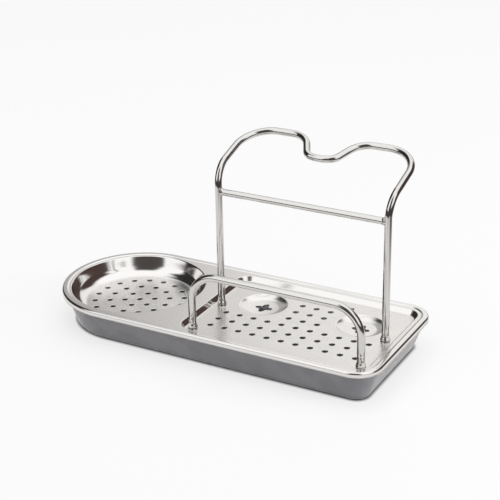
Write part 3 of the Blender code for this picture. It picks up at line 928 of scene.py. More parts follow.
@dataclass(frozen=True)
class PlatePlan:
    """Outline of the strainer plate and the places of what is pressed and punched into it."""

    corner_radius: float = 0.0170
    least_corner: float = 0.0005
    rim_inner_inset: float = 0.0048
    platform_drop: float = 0.0006
    recess_depth: float = 0.0030
    dish_land: float = 0.0008
    recess_dish_land: float = 0.0103
    recess_land: float = 0.0021
    recess_corner_radius: float = 0.0060
    wall_angle: float = math.radians(52.6)
    top_bend: float = 0.0007
    foot_bend: float = 0.0005
    hole_pitch: float = 0.0100
    hole_from_front: float = 0.0142
    hole_shift: float = 0.0005
    row_holes: tuple[int, ...] = (11, 11, 11, 3, 3, 3, 5)
    hole_land: float = 0.0008
    hole_radius: float = 0.0018
    dimple_radius: float = 0.0150
    dimple_from_back: float = 0.0274
    dimple_from_ends: float = 0.0276
    dimple_shift: float = 0.0011
    foot_from_ends: float = 0.00435
    rack_shift: float = -0.0006
    rack_y: float = 0.0029
    rail_shift: float = 0.0001
    rail_from_front: float = 0.0064
    shoulder_radius: float = 0.00315
    round_steps: int = 112
    corner_steps: int = 16

    @cached_property
    def box(self) -> tuple[Vector, Vector]:
        """Lowest and highest corner of the CAD plate."""
        low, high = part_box("strainer_plate")
        return Vector(low), Vector(high)

    @cached_property
    def half_width(self) -> float:
        """Half of the outer width."""
        return self.box[1].y

    @cached_property
    def round_x(self) -> float:
        """X of the middle of the round end."""
        return self.box[0].x + self.half_width

    @cached_property
    def rim_top(self) -> float:
        """Level of the top of the rim."""
        return self.box[1].z

    @cached_property
    def platform(self) -> float:
        """Level of the platform around the dish and the recess."""
        return self.rim_top - self.platform_drop

    @cached_property
    def floor(self) -> float:
        """Level of the recess floor."""
        return self.platform - self.recess_depth

    @cached_property
    def dish_lip(self) -> float:
        """Radius at which the platform ends at the dish."""
        return self.half_width - self.rim_inner_inset - self.dish_land

    @cached_property
    def slope_width(self) -> float:
        """Plan width of the recess wall.

        Returns:
            The width with both bends.
        """
        bends = self.top_bend + self.foot_bend
        straight = self.recess_depth - bends * (1 - math.cos(self.wall_angle))
        return bends * math.sin(self.wall_angle) + straight / math.tan(self.wall_angle)

    @cached_property
    def recess(self) -> tuple[float, float, float, float]:
        """Edges of the flat recess floor.

        Returns:
            Left, right, front and back edge.
        """
        left = self.round_x + self.dish_lip + self.recess_dish_land + self.slope_width
        inset = self.rim_inner_inset + self.recess_land + self.slope_width
        return left, self.box[1].x - inset, -self.half_width + inset, self.half_width - inset

    @cached_property
    def recess_x(self) -> float:
        """X of the middle of the recess."""
        return (self.recess[0] + self.recess[1]) / 2

    @cached_property
    def half_spacing(self) -> float:
        """Half of the distance between the legs of a wire."""
        return (self.recess[1] - self.recess[0]) / 2 - self.foot_from_ends

    @cached_property
    def feet(self) -> dict[str, Point]:
        """Place of each wire foot.

        Returns:
            Name of each foot to its plan position.
        """
        rows = (("rack", self.rack_shift, self.rack_y),
                ("rail", self.rail_shift, self.recess[2] + self.rail_from_front))
        return {f"{wire}_{end}": (self.recess_x + shift + side * self.half_spacing, y)
                for wire, shift, y in rows for end, side in (("left", -1), ("right", 1))}

    @cached_property
    def dimples(self) -> tuple[Point, Point]:
        """Middle of each drain dimple.

        Returns:
            Plan position of the left and the right dimple.
        """
        left, right, _, back = self.recess
        reach, y = self.dimple_from_ends, back - self.dimple_from_back
        return ((left + reach + self.dimple_shift, y), (right - reach + self.dimple_shift, y))

    def outline(self, inset: float) -> list[Point]:
        """Outer outline of the plate at an inset, counter-clockwise.

        Args:
            inset: Distance inwards.

        Returns:
            The plan loop.
        """
        radius = self.half_width - inset
        corner = max(self.corner_radius - inset, self.least_corner)
        loop = arc((self.round_x, 0.0), radius, QUARTER, 3 * QUARTER, self.round_steps)
        for side, start in ((-1, -QUARTER), (1, 0.0)):
            loop += arc((self.box[1].x - inset - corner, side * (radius - corner)), corner,
                        start, start + QUARTER, self.corner_steps)
        return loop

    def recess_outline(self, growth: float) -> list[Point]:
        """Rounded rectangle of the recess floor, grown outwards.

        Args:
            growth: Distance outwards.

        Returns:
            The plan loop.
        """
        left, right, front, back = self.recess
        corner = self.recess_corner_radius
        loop = []
        for quarter, (x, y) in enumerate((
                (right - corner, back - corner), (left + corner, back - corner),
                (left + corner, front + corner), (right - corner, front + corner))):
            loop += arc((x, y), corner + growth, quarter * QUARTER, (quarter + 1) * QUARTER,
                        self.corner_steps)
        return loop

    def on_floor(self, x: float, y: float) -> bool:
        """Tell whether a drain hole has flat recess floor around it.

        Args:
            x: X of the hole.
            y: Y of the hole.

        Returns:
            True where it keeps clear of walls, dimples and wire feet.
        """
        reach = self.hole_radius + self.hole_land
        left, right, front, back = self.recess
        return (left + reach < x < right - reach and front + reach < y < back - reach
                and all(math.hypot(x - dx, y - dy) > self.dimple_radius + reach
                        for dx, dy in self.dimples)
                and all(math.hypot(x - fx, y - fy) > self.shoulder_radius + reach
                        for fx, fy in self.feet.values()))

    def recess_holes(self) -> list[Point]:
        """Place the drain holes in the recess floor.

        Returns:
            Their centres.
        """
        centres = []
        for row, count in enumerate(self.row_holes):
            y = self.recess[2] + self.hole_from_front + row * self.hole_pitch
            for column in range(count):
                x = self.recess_x + self.hole_shift + (column - (count - 1) / 2) * self.hole_pitch
                centres.append((x, y))
        return [centre for centre in centres if self.on_floor(*centre)]


@dataclass
class StrainerPlate:
    """Pressed steel sheet with a rim, a dish, a recess, two dimples and punched drain holes."""

    plan: PlatePlan
    trees: GeometryTrees
    shade: Shade
    sheet: float = 0.0008
    skirt_height: float = 0.0035
    skirt_straight: float = 0.0006
    rim_radius: float = 0.0016
    rim_flat: float = 0.0018
    rim_fall_width: float = 0.0014
    rim_steps: int = 12
    support: float = 0.00025
    dish_wall_angle: float = math.radians(70.0)
    dish_lip_bend: float = 0.00085
    dish_depth: float = 0.0119
    dish_fillet: float = 0.0090
    dish_fillet_steps: int = 18
    ring_step: float = 0.0100
    ring_start: float = math.radians(30.0)
    holes_per_ring: int = 6
    stud_hole: float = 0.0023
    dimple_depth: float = 0.0027
    dimple_bowl_depth: float = 0.0010
    dimple_lip: float = 0.0010
    dimple_slope_width: float = 0.0056
    dimple_slope_steps: int = 24
    dimple_bend: float = 0.14
    dimple_dish: float = 2.0
    lobes: int = 4
    lobe_mean: float = 0.0044
    lobe_swing: float = 0.0014
    cut_edge: float = 0.0003
    cut_steps: int = 3
    cut_profile: tuple[Point, ...] = ((1.0, 0.0), (0.5, 0.15), (0.15, 0.5), (0.0, 1.0))
    hole_sides: int = 20
    dish_steps: int = 144
    dimple_steps: int = 96
    draft: Draft = field(default_factory=Draft)

    def build(self) -> Piece:
        """Build the whole plate.

        Returns:
            The piece.
        """
        self.add_rim()
        self.add_dish()
        self.add_recess()
        for centre in self.plan.dimples:
            self.add_dimple(centre)
        for centre in self.plan.feet.values():
            self.draft.strips(self.cut_loops(centre, self.stud_hole, self.plan.floor),
                              Polish.CUT_EDGE)
        self.add_flats()
        return publish("strainer_plate", self.draft.mesh("strainer_plate"), self.shade,
                       ["strainer_plate"])

    def add_rim(self) -> None:
        """Add the skirt, the rolled rim and the fall to the platform, on both faces."""
        plan, radius, top = self.plan, self.rim_radius, self.plan.rim_top
        section = [(0.0, top - self.skirt_height), (0.0, top - radius - self.skirt_straight)]
        section += arc((radius, top - radius), radius, math.pi, QUARTER, self.rim_steps)
        start = radius + self.rim_flat
        for step in range(BEND_STEPS + 1):
            share = step / BEND_STEPS
            section.append((start + self.rim_fall_width * share,
                            top - plan.platform_drop * ease(share)))
        section.append((plan.rim_inner_inset + self.support, plan.platform))
        lower = parallel(section, self.sheet)
        self.draft.sheet(section, lower,
                         [Polish.RIM] * (len(section) - 2) + [Polish.PLATFORM] * 2, plan.outline)
        self.draft.strips([at_level(plan.outline(inset), level)
                           for inset, level in (section[0], lower[0])], Polish.CUT_EDGE)

    def dish_section(self) -> list[Point]:
        """Section of the upper face of the dish.

        Returns:
            Radius and level, from the platform to the flat floor.
        """
        plan, angle = self.plan, self.dish_wall_angle
        lip, fillet = self.dish_lip_bend, self.dish_fillet
        section = [(plan.dish_lip + self.support, plan.platform)]
        section += arc((plan.dish_lip, plan.platform - lip), lip, QUARTER, QUARTER + angle,
                       BEND_STEPS)
        wall_radius, wall_level = section[-1]
        floor = plan.platform - self.dish_depth
        foot_level = floor + fillet * (1 - math.cos(angle))
        foot_radius = wall_radius - (wall_level - foot_level) / math.tan(angle)
        floor_radius = foot_radius - fillet * math.sin(angle)
        section.append(((wall_radius + foot_radius) / 2, (wall_level + foot_level) / 2))
        section += arc((floor_radius, floor + fillet), fillet, angle - QUARTER, -QUARTER,
                       self.dish_fillet_steps)
        section.append((floor_radius - self.support, floor))
        return section

    def dish_circle(self, radius: float) -> list[Point]:
        """Plan circle around the middle of the dish."""
        return circle((self.plan.round_x, 0.0), radius, self.dish_steps)

    def add_dish(self) -> None:
        """Add the wall of the dish on both faces."""
        section = self.dish_section()
        lower = [(-radius, level) for radius, level
                 in parallel([(-radius, level) for radius, level in section], self.sheet)]
        half = (Polish.DISH_FLOOR + Polish.DISH_WALL) / 2
        wall = ([Polish.PLATFORM] * 2 + [Polish.DISH_WALL] * (len(section) - 6)
                + [half] * 2 + [Polish.DISH_FLOOR] * 2)
        self.draft.sheet(section, lower, wall, self.dish_circle)

    def add_recess(self) -> None:
        """Add the sloping wall of the recess with its two bends, on both faces."""
        plan, angle = self.plan, self.plan.wall_angle
        top, foot, width = plan.top_bend, plan.foot_bend, plan.slope_width
        section = [(-width - self.support, plan.platform)]
        section += arc((-width, plan.platform - top), top, QUARTER, QUARTER - angle, BEND_STEPS)
        section += arc((0.0, plan.floor + foot), foot, -QUARTER - angle, -QUARTER, BEND_STEPS)
        section.append((self.support, plan.floor))
        wall = ([Polish.PLATFORM] * 2 + [Polish.RECESS_WALL] * (len(section) - 4)
                + [Polish.RECESS_FLOOR] * 2)
        self.draft.sheet(section, parallel(section, self.sheet), wall,
                         lambda across: plan.recess_outline(-across))

    @property
    def dimple_edge(self) -> float:
        """Radius of a dimple with its lip."""
        return self.plan.dimple_radius + self.dimple_lip

    def lobe(self, turn: float, growth: float) -> float:
        """Reach of the four-lobed cut at an angle, grown outwards."""
        return self.lobe_mean + self.lobe_swing * math.cos(self.lobes * turn) + growth

    def dimple_point(self, centre: Point, turn: float, reach: float, drop: float) -> Vector:
        """Point on a dimple.

        Args:
            centre: Middle of the dimple.
            turn: Angle around it.
            reach: Distance from it.
            drop: Distance below the upper face.

        Returns:
            The point.
        """
        outer = self.dimple_edge
        share = min(max((outer - reach) / self.dimple_slope_width, 0.0), 1.0)
        fall = 1.0 - (1.0 - soft_ramp(share, self.dimple_bend)) ** self.dimple_dish
        slope = fall * (self.dimple_depth - self.dimple_bowl_depth)
        bowl = self.dimple_bowl_depth * (1 - (min(reach, outer) / outer) ** 2)
        return Vector((centre[0] + reach * math.cos(turn), centre[1] + reach * math.sin(turn),
                       self.plan.floor - (slope + bowl * share * share) - drop))

    def add_dimple(self, centre: Point) -> None:
        """Add one dimple with its four-lobed cut, on both faces.

        Args:
            centre: Middle of the dimple.
        """
        turns = [2 * math.pi * step / self.dimple_steps for step in range(self.dimple_steps)]
        outer, foot = self.dimple_edge, self.dimple_edge - self.dimple_slope_width
        reaches = [[outer + self.support] * len(turns)]
        for step in range(self.dimple_slope_steps + 1):
            share = step / self.dimple_slope_steps
            reaches.append([outer - self.dimple_slope_width * share] * len(turns))
        for step in range(1, BEND_STEPS + 1):
            reaches.append([foot + (self.lobe(turn, 2 * self.cut_edge) - foot)
                            * step / BEND_STEPS for turn in turns])

        def loops(rings: Iterable[list[float]], drop: float) -> list[Loop]:
            """Loops of the dimple at the given reaches."""
            return [[self.dimple_point(centre, turn, reach, drop)
                     for turn, reach in zip(turns, ring)] for ring in rings]

        upper, under = loops(reaches, 0.0), loops(reversed(reaches), self.sheet)
        cut = []
        for growth, drop in (*self.cut_profile, (0.0, self.sheet / self.cut_edge)):
            cut += loops([[self.lobe(turn, growth * self.cut_edge) for turn in turns]],
                         drop * self.cut_edge)
        self.draft.strips(upper + cut + under,
                          [Polish.RECESS_FLOOR] * 2 + [Polish.DIMPLE] * (len(upper) - 2)
                          + [Polish.CUT_EDGE] * len(cut) + [Polish.UNDERSIDE] * len(under))

    def cut_loops(self, centre: Point, radius: float, level: float) -> list[Loop]:
        """Loops of a punched round hole: a rounded upper edge, a bore and a square lower edge.

        Args:
            centre: Middle of the hole.
            radius: Its radius.
            level: Level of the upper face.

        Returns:
            The loops from the upper face to the lower face.
        """
        edge = self.cut_edge
        margin = radius + edge + self.support
        section = [(margin, 0.0)]
        section += arc((radius + edge, -edge), edge, QUARTER, math.pi, self.cut_steps)
        section += [(radius, -self.sheet), (margin, -self.sheet)]
        return [at_level(circle(centre, reach, self.hole_sides), level + drop)
                for reach, drop in section]

    def dish_holes(self) -> list[Point]:
        """Place the drain holes in the dish floor.

        Returns:
            Their centres.
        """
        floor_radius = self.dish_section()[-1][0]
        middle = (self.plan.round_x, 0.0)
        reach = floor_radius - self.plan.hole_radius - self.plan.hole_land + self.support
        centres = [middle]
        for ring in range(1, int(reach / self.ring_step) + 1):
            centres += arc(middle, ring * self.ring_step, self.ring_start,
                           self.ring_start + 2 * math.pi, self.holes_per_ring * ring)[:-1]
        return centres

    def add_flats(self) -> None:
        """Add the flat platform and the perforated floors of the recess and the dish."""
        plan, dish = self.plan, self.dish_section()
        margin = self.cut_edge + self.support
        platform = [plan.outline(plan.rim_inner_inset + self.support),
                    self.dish_circle(dish[0][0]),
                    plan.recess_outline(plan.slope_width + self.support)]
        recess = [plan.recess_outline(-self.support)]
        recess += [circle(dimple, self.dimple_edge + self.support, self.dimple_steps)
                   for dimple in plan.dimples]
        recess += [circle(foot, self.stud_hole + margin, self.hole_sides)
                   for foot in plan.feet.values()]
        punch = Draft()
        punch.strips(self.cut_loops((0.0, 0.0), plan.hole_radius, 0.0), Polish.CUT_EDGE)
        edge = linked("punched_edge", new_mesh("punched_edge", punch.points, faces=punch.faces))
        areas = (
            (platform, [], plan.platform, Polish.PLATFORM),
            (recess, plan.recess_holes(), plan.floor, Polish.RECESS_FLOOR),
            ([self.dish_circle(dish[-1][0])], self.dish_holes(), dish[-1][1], Polish.DISH_FLOOR),
        )
        for outlines, holes, level, polish in areas:
            centres = linked("hole_points", new_mesh("hole_points", at_level(holes, 0.0)))
            for drop, value in ((0.0, polish), (self.sheet, Polish.UNDERSIDE)):
                outline = loop_mesh("floor_outline", outlines)
                self.draft.add_mesh(grown(self.trees.perforated_floor, outline, {
                    "Hole Points": centres, "Hole Radius": plan.hole_radius + margin,
                    "Hole Sides": self.hole_sides, "Level": level - drop,
                    "Polish": float(value), "Material": self.shade}))
            bpy.data.objects.remove(centres, do_unlink=True)
            if holes:
                points = new_mesh("edge_points", at_level(holes, level))
                self.draft.add_mesh(grown(self.trees.punched_edges, points, {
                    "Edge": edge, "Material": self.shade}), Polish.CUT_EDGE)
        bpy.data.objects.remove(edge, do_unlink=True)


# Wires


@dataclass(frozen=True)
class Thread:
    """Screw thread of a wire end."""

    radius: float = 0.00196
    ridge: float = 0.00022
    pitch: float = 0.0007
    turns: float = 6.0
    lead: float = 0.0006


@dataclass(frozen=True)
class WireFoot:
    """Foot of a wire: a flared shoulder on the plate and a threaded end below it."""

    thread: Thread = Thread()
    stud_radius: float = 0.0020
    end_chamfer: float = 0.0004
    shoulder_radius: float = 0.00315
    shoulder_height: float = 0.0034
    shoulder_edge: tuple[Point, ...] = ((0.00003, 0.00018), (0.00012, 0.00005), (0.00026, 0.0))
    flare_steps: int = 12

    def path(self, place: Point, seat: float, stud_end: float, wire_radius: float) -> WirePath:
        """Points with radius from the threaded end up to the plain wire.

        Args:
            place: Plan position of the foot.
            seat: Level of the plate.
            stud_end: Level of the end of the thread.
            wire_radius: Radius of the plain wire.

        Returns:
            Points with their radius.
        """
        wide, rise = self.shoulder_radius, self.shoulder_edge[-1][0]
        levels = [(stud_end, self.stud_radius - self.end_chamfer),
                  (stud_end + self.end_chamfer, self.stud_radius), (seat, self.stud_radius)]
        levels += [(seat + up, wide - inset) for up, inset in self.shoulder_edge]
        for step in range(1, self.flare_steps + 1):
            share = step / self.flare_steps
            levels.append((seat + rise + share * (self.shoulder_height - rise),
                           wide + (wire_radius - wide) * ease(share)))
        return [(Vector((*place, level)), radius) for level, radius in levels]


def rounded_path(corners: Sequence[Triple], turn_step: float) -> Loop:
    """Run through flat corners with an arc at each corner between the ends.

    Args:
        corners: X, Y and arc radius of each corner.
        turn_step: Largest angle between two points of an arc.

    Returns:
        The points of the path.
    """
    path = [Vector(corners[0][:2])]
    for before, here, after in zip(corners, corners[1:], corners[2:]):
        corner = Vector(here[:2])
        into = (corner - Vector(before[:2])).normalized()
        out = (Vector(after[:2]) - corner).normalized()
        turn = math.atan2(into.x * out.y - into.y * out.x, into.dot(out))
        side = Vector((-into.y, into.x)) * math.copysign(here[2], turn)
        centre = corner - into * here[2] * math.tan(abs(turn) / 2) + side
        steps = max(2, math.ceil(abs(turn) / turn_step))
        path += [centre + Matrix.Rotation(turn * step / steps, 2) @ -side
                 for step in range(steps + 1)]
    path.append(Vector(corners[-1][:2]))
    return path


def stepped(path: Sequence[Vector], longest: float) -> Loop:
    """Add points to the long straight stretches of a flat path.

    Args:
        path: The path.
        longest: Longest step allowed.

    Returns:
        The finer path.
    """
    result = [path[0]]
    for start, end in zip(path, path[1:]):
        count = max(1, math.ceil((end - start).length / longest))
        result += [start.lerp(end, step / count) for step in range(1, count + 1)]
    return result


@dataclass
class Wire:
    """Bent wire with two feet that go through the plate."""

    plan: PlatePlan
    trees: GeometryTrees
    shade: Shade
    wire_radius: float
    foot: WireFoot = WireFoot()
    turn_step: float = math.radians(3.0)

    def draft(self, path: WirePath, shade: Shade) -> Draft:
        """Round wire along points that carry their own radius.

        Args:
            path: Points with their radius.
            shade: Material.

        Returns:
            The draft of the wire.
        """
        data = new_mesh("wire_path", [point for point, _ in path],
                        [(index, index + 1) for index in range(len(path) - 1)])
        layer = data.attributes.new(RADIUS_LAYER, "FLOAT", "POINT")
        layer.data.foreach_set("value", [radius for _, radius in path])
        draft = Draft()
        draft.add_mesh(grown(self.trees.round_wire, data, {
            "Sides": WIRE_SIDES, "Material": shade}), Polish.WIRE)
        return draft

    def build_bent(self, prefix: str, middle: WirePath) -> Piece:
        """Build a bent wire with its feet and threads.

        Args:
            prefix: What the names of the wire and its feet start with.
            middle: Points with their radius between the feet.

        Returns:
            The piece.
        """
        node, thread = prefix + "_wire", self.foot.thread
        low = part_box(node)[0][2]
        places = [self.plan.feet[prefix + end] for end in ("_left", "_right")]
        left, right = (self.foot.path(place, self.plan.floor + ASSEMBLY_GAP, low,
                                      self.wire_radius) for place in places)
        draft = self.draft(left + middle + right[::-1], self.shade)
        ends = new_mesh("stud_ends", at_level(places, low + thread.lead))
        draft.add_mesh(grown(self.trees.stud_thread, ends, {
            "Turns": thread.turns, "Pitch": thread.pitch, "Radius": thread.radius,
            "Ridge": thread.ridge, "Material": self.shade}), Polish.WIRE)
        return publish(node, draft.mesh(node), self.shade, [node])


@dataclass
class WireRack(Wire):
    """Tall rack: two upright legs, a loop that leans back, and a welded crossbar."""

    wire_radius: float = 0.0023
    bar_radius: float = 0.0022
    bar_height: float = 0.0780
    bar_end_share: float = 0.9
    bend_above_bar: float = 0.0026
    bend_radius: float = 0.0156
    lean: float = math.radians(72.0)
    flare: float = 0.0015
    flare_end: float = 0.0194
    flare_radius: float = 0.0600
    lobe_top: float = 0.0562
    lobe_outer_radius: float = 0.0210
    lobe_inner_radius: float = 0.0155
    lobe_inner_x: float = 0.0187
    dip_corner_x: float = 0.0095
    dip_corner: float = 0.0371
    dip_corner_radius: float = 0.0065
    dip_middle: float = 0.0351
    dip_middle_radius: float = 0.0200
    weld_inset: float = 0.0002
    weld_length: float = 0.0016
    weld_rise: float = 0.00045
    weld_steps: int = 6
    longest_step: float = 0.0012

    @property
    def middle_x(self) -> float:
        """X of the middle of the rack."""
        return self.plan.recess_x + self.plan.rack_shift

    def on_lean(self, x: float, distance: float) -> Vector:
        """Point on the leaning surface, a distance above the start of the bend.

        Args:
            x: Distance from the middle of the rack.
            distance: Distance along the surface.

        Returns:
            The point.
        """
        turn = min(distance / self.bend_radius, self.lean)
        rest = distance - turn * self.bend_radius
        y = self.bend_radius * (1 - math.cos(turn)) + rest * math.sin(self.lean)
        level = self.bend_radius * math.sin(turn) + rest * math.cos(self.lean)
        start = self.plan.floor + self.bar_height + self.bend_above_bar
        return Vector((self.middle_x + x, self.plan.rack_y + y, start + level))

    def build_wire(self) -> Piece:
        """Build the bent wire.

        Returns:
            The piece.
        """
        reach = self.plan.half_spacing
        half = [
            (reach, 0.0, 0.0),
            (reach + self.flare, self.flare_end, self.flare_radius),
            (reach + self.flare, self.lobe_top, self.lobe_outer_radius),
            (self.lobe_inner_x, self.lobe_top, self.lobe_inner_radius),
            (self.dip_corner_x, self.dip_corner, self.dip_corner_radius),
        ]
        corners = [(-x, along, radius) for x, along, radius in half]
        corners += [(0.0, self.dip_middle, self.dip_middle_radius), *half[::-1]]
        loop = stepped(rounded_path(corners, self.turn_step), self.longest_step)
        return self.build_bent("rack", [(self.on_lean(*point), self.wire_radius)
                                        for point in loop])

    def build_bar(self, shade: Shade) -> Piece:
        """Build the crossbar, whose ends run into the legs in a small weld.

        Args:
            shade: Material.

        Returns:
            The piece.
        """
        reach = self.plan.half_spacing
        start = reach - self.wire_radius
        stations = [(reach, self.bar_radius * self.bar_end_share),
                    (start + self.weld_inset, self.bar_radius)]
        for step in range(self.weld_steps + 1):
            share = step / self.weld_steps
            stations.append((start - self.weld_length * share,
                             self.bar_radius + self.weld_rise * (1 - share) ** 2))
        stations = [(-x, radius) for x, radius in stations] + stations[::-1]
        path = [(Vector((self.middle_x + x, self.plan.rack_y,
                         self.plan.floor + self.bar_height)), radius) for x, radius in stations]
        return publish("rack_crossbar", self.draft(path, shade).mesh("rack_crossbar"), shade,
                       ["rack_crossbar"])


@dataclass
class WireRail(Wire):
    """Low bow of wire at the front of the recess."""

    wire_radius: float = 0.0024
    top: float = 0.0370
    bend_radius: float = 0.0180

    def build(self) -> Piece:
        """Build the bow.

        Returns:
            The piece.
        """
        plan = self.plan
        (left_x, y), (right_x, _) = plan.feet["rail_left"], plan.feet["rail_right"]
        top = plan.floor + self.top
        foot = plan.floor + ASSEMBLY_GAP + self.foot.shoulder_height
        corners = [(left_x, foot, 0.0), (left_x, top, self.bend_radius),
                   (right_x, top, self.bend_radius), (right_x, foot, 0.0)]
        return self.build_bent("rail", [
            (Vector((point.x, y, point.y)), self.wire_radius)
            for point in rounded_path(corners, self.turn_step)[1:-1]])


# Fixings below the plate


@dataclass
class FootFixing:
    """Washer and hexagon nut that clamp a wire foot from below."""

    place: Point
    name: str
    shade: Shade
    bore: float = 0.0023
    washer_edge: float = 0.00012
    across_flats: float = 0.0070
    face_share: float = 0.96
    chamfer_slope: float = math.tan(math.radians(30.0))
    bore_chamfer: float = 0.0003
    steps: int = 48

    def ring(self, reach: float, level: float) -> Loop:
        """Round loop around the foot."""
        return at_level(circle(self.place, reach, self.steps), level)

    def finish(self, node: str, loops: list[Loop]) -> Piece:
        """Close the loops of a machined piece, keep its edges crisp and publish it.

        Args:
            node: Name of the piece.
            loops: Its loops, all round the section.

        Returns:
            The piece.
        """
        draft = Draft()
        draft.strips(loops + loops[:1], Polish.FASTENER)
        data = draft.mesh(node)
        builder = bmesh.new()
        builder.from_mesh(data)
        for edge in builder.edges:
            edge.smooth = len(edge.link_faces) == 2 and edge.calc_face_angle() < SHARP_ANGLE
        builder.to_mesh(data)
        builder.free()
        return publish(node, data, self.shade, [node])

    def build_washer(self) -> Piece:
        """Build the washer with its soft edges.

        Returns:
            The piece.
        """
        node = self.name + "_washer"
        low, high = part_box(node)
        radius, bore, edge = (high[0] - low[0]) / 2, self.bore, self.washer_edge
        top, bottom = high[2], low[2]
        return self.finish(node, [self.ring(reach, level) for reach, level in (
            (bore, top - edge), (bore + edge, top), (radius - edge, top), (radius, top - edge),
            (radius, bottom + edge), (radius - edge, bottom), (bore + edge, bottom),
            (bore, bottom + edge))])

    def corner(self, face: float, level: float, sign: float) -> Loop:
        """Loop where the flats of the nut meet a chamfer.

        Args:
            face: Radius of the flat face of the nut.
            level: Level of that face.
            sign: 1 for the upper chamfer, -1 for the lower one.

        Returns:
            The loop.
        """
        loop = []
        for step in range(self.steps):
            turn = 2 * math.pi * step / self.steps
            within = turn % (math.pi / 3) - math.pi / 6
            reach = self.across_flats / 2 / math.cos(within)
            loop.append(Vector((self.place[0] + reach * math.cos(turn),
                                self.place[1] + reach * math.sin(turn),
                                level - sign * (reach - face) * self.chamfer_slope)))
        return loop

    def build_nut(self) -> Piece:
        """Build the nut with chamfered corners and a countersunk bore.

        Returns:
            The piece.
        """
        node = self.name + "_nut"
        low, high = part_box(node)
        top, bottom, chamfer = high[2], low[2], self.bore_chamfer
        face, wide = self.across_flats / 2 * self.face_share, self.bore + chamfer
        return self.finish(node, [
            self.ring(self.bore, top - chamfer), self.ring(wide, top), self.ring(face, top),
            self.corner(face, top, 1.0), self.corner(face, bottom, -1.0),
            self.ring(face, bottom), self.ring(wide, bottom),
            self.ring(self.bore, bottom + chamfer)])


# Drip tray


@dataclass
class DripTray:
    """Moulded tray: an open tapered shell with rounded foot and rim."""

    plan: PlatePlan
    shade: Shade
    wall: float = 0.0018
    floor: float = 0.0020
    base_inset: float = 0.0084
    rim_inset: float = 0.0016
    foot_radius: float = 0.0022
    foot_margin: float = 0.0004
    rim_edge: float = 0.0004
    rim_edge_middle: float = 0.3

    def section(self) -> list[Point]:
        """Section of the shell.

        Returns:
            Inset and level, from the base outside to the floor inside.
        """
        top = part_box("drip_tray")[1][2]
        foot, edge, middle = self.foot_radius, self.rim_edge, self.rim_edge * self.rim_edge_middle
        taper = (self.base_inset - self.rim_inset) / (top - foot)
        outer, inner = self.rim_inset, self.rim_inset + self.wall
        inner_base = inner + taper * (top - self.floor - foot)
        return [
            (self.base_inset + foot + self.foot_margin, 0.0),
            *arc((self.base_inset + foot, foot), foot, -QUARTER, -math.pi, BEND_STEPS),
            (outer + taper * edge, top - edge), (outer + middle, top - middle),
            (outer + edge, top), (inner - edge, top), (inner - middle, top - middle),
            (inner + taper * edge, top - edge),
            *arc((inner_base + foot, self.floor + foot), foot, -math.pi, -QUARTER, BEND_STEPS),
            (inner_base + foot + self.foot_margin, self.floor)]

    def build(self) -> Piece:
        """Build the tray.

        Returns:
            The piece.
        """
        loops = [at_level(self.plan.outline(inset), level) for inset, level in self.section()]
        draft = Draft()
        # The floor inside gets polish 0, which the smoke material paints in shade.
        draft.strips(loops, [Polish.TRAY] * (len(loops) - 1) + [Polish.TRAY_FLOOR])
        draft.cap(loops[0], Polish.TRAY)
        draft.cap(loops[-1], Polish.TRAY_FLOOR)
        return publish("drip_tray", draft.mesh("drip_tray"), self.shade,
                       ["drip_tray"], Body.TRAY)


# Studio


@dataclass(frozen=True)
class Card:
    """Bright or dark region of the studio, as azimuth from +Y towards +X and elevation."""

    azimuth: float
    half_width: float
    low: float
    high: float
    soft: float
    colour: Triple


@dataclass(frozen=True)
class Lamp:
    """Square soft lamp that points at the origin."""

    name: str
    place: Triple
    size: float
    power: float


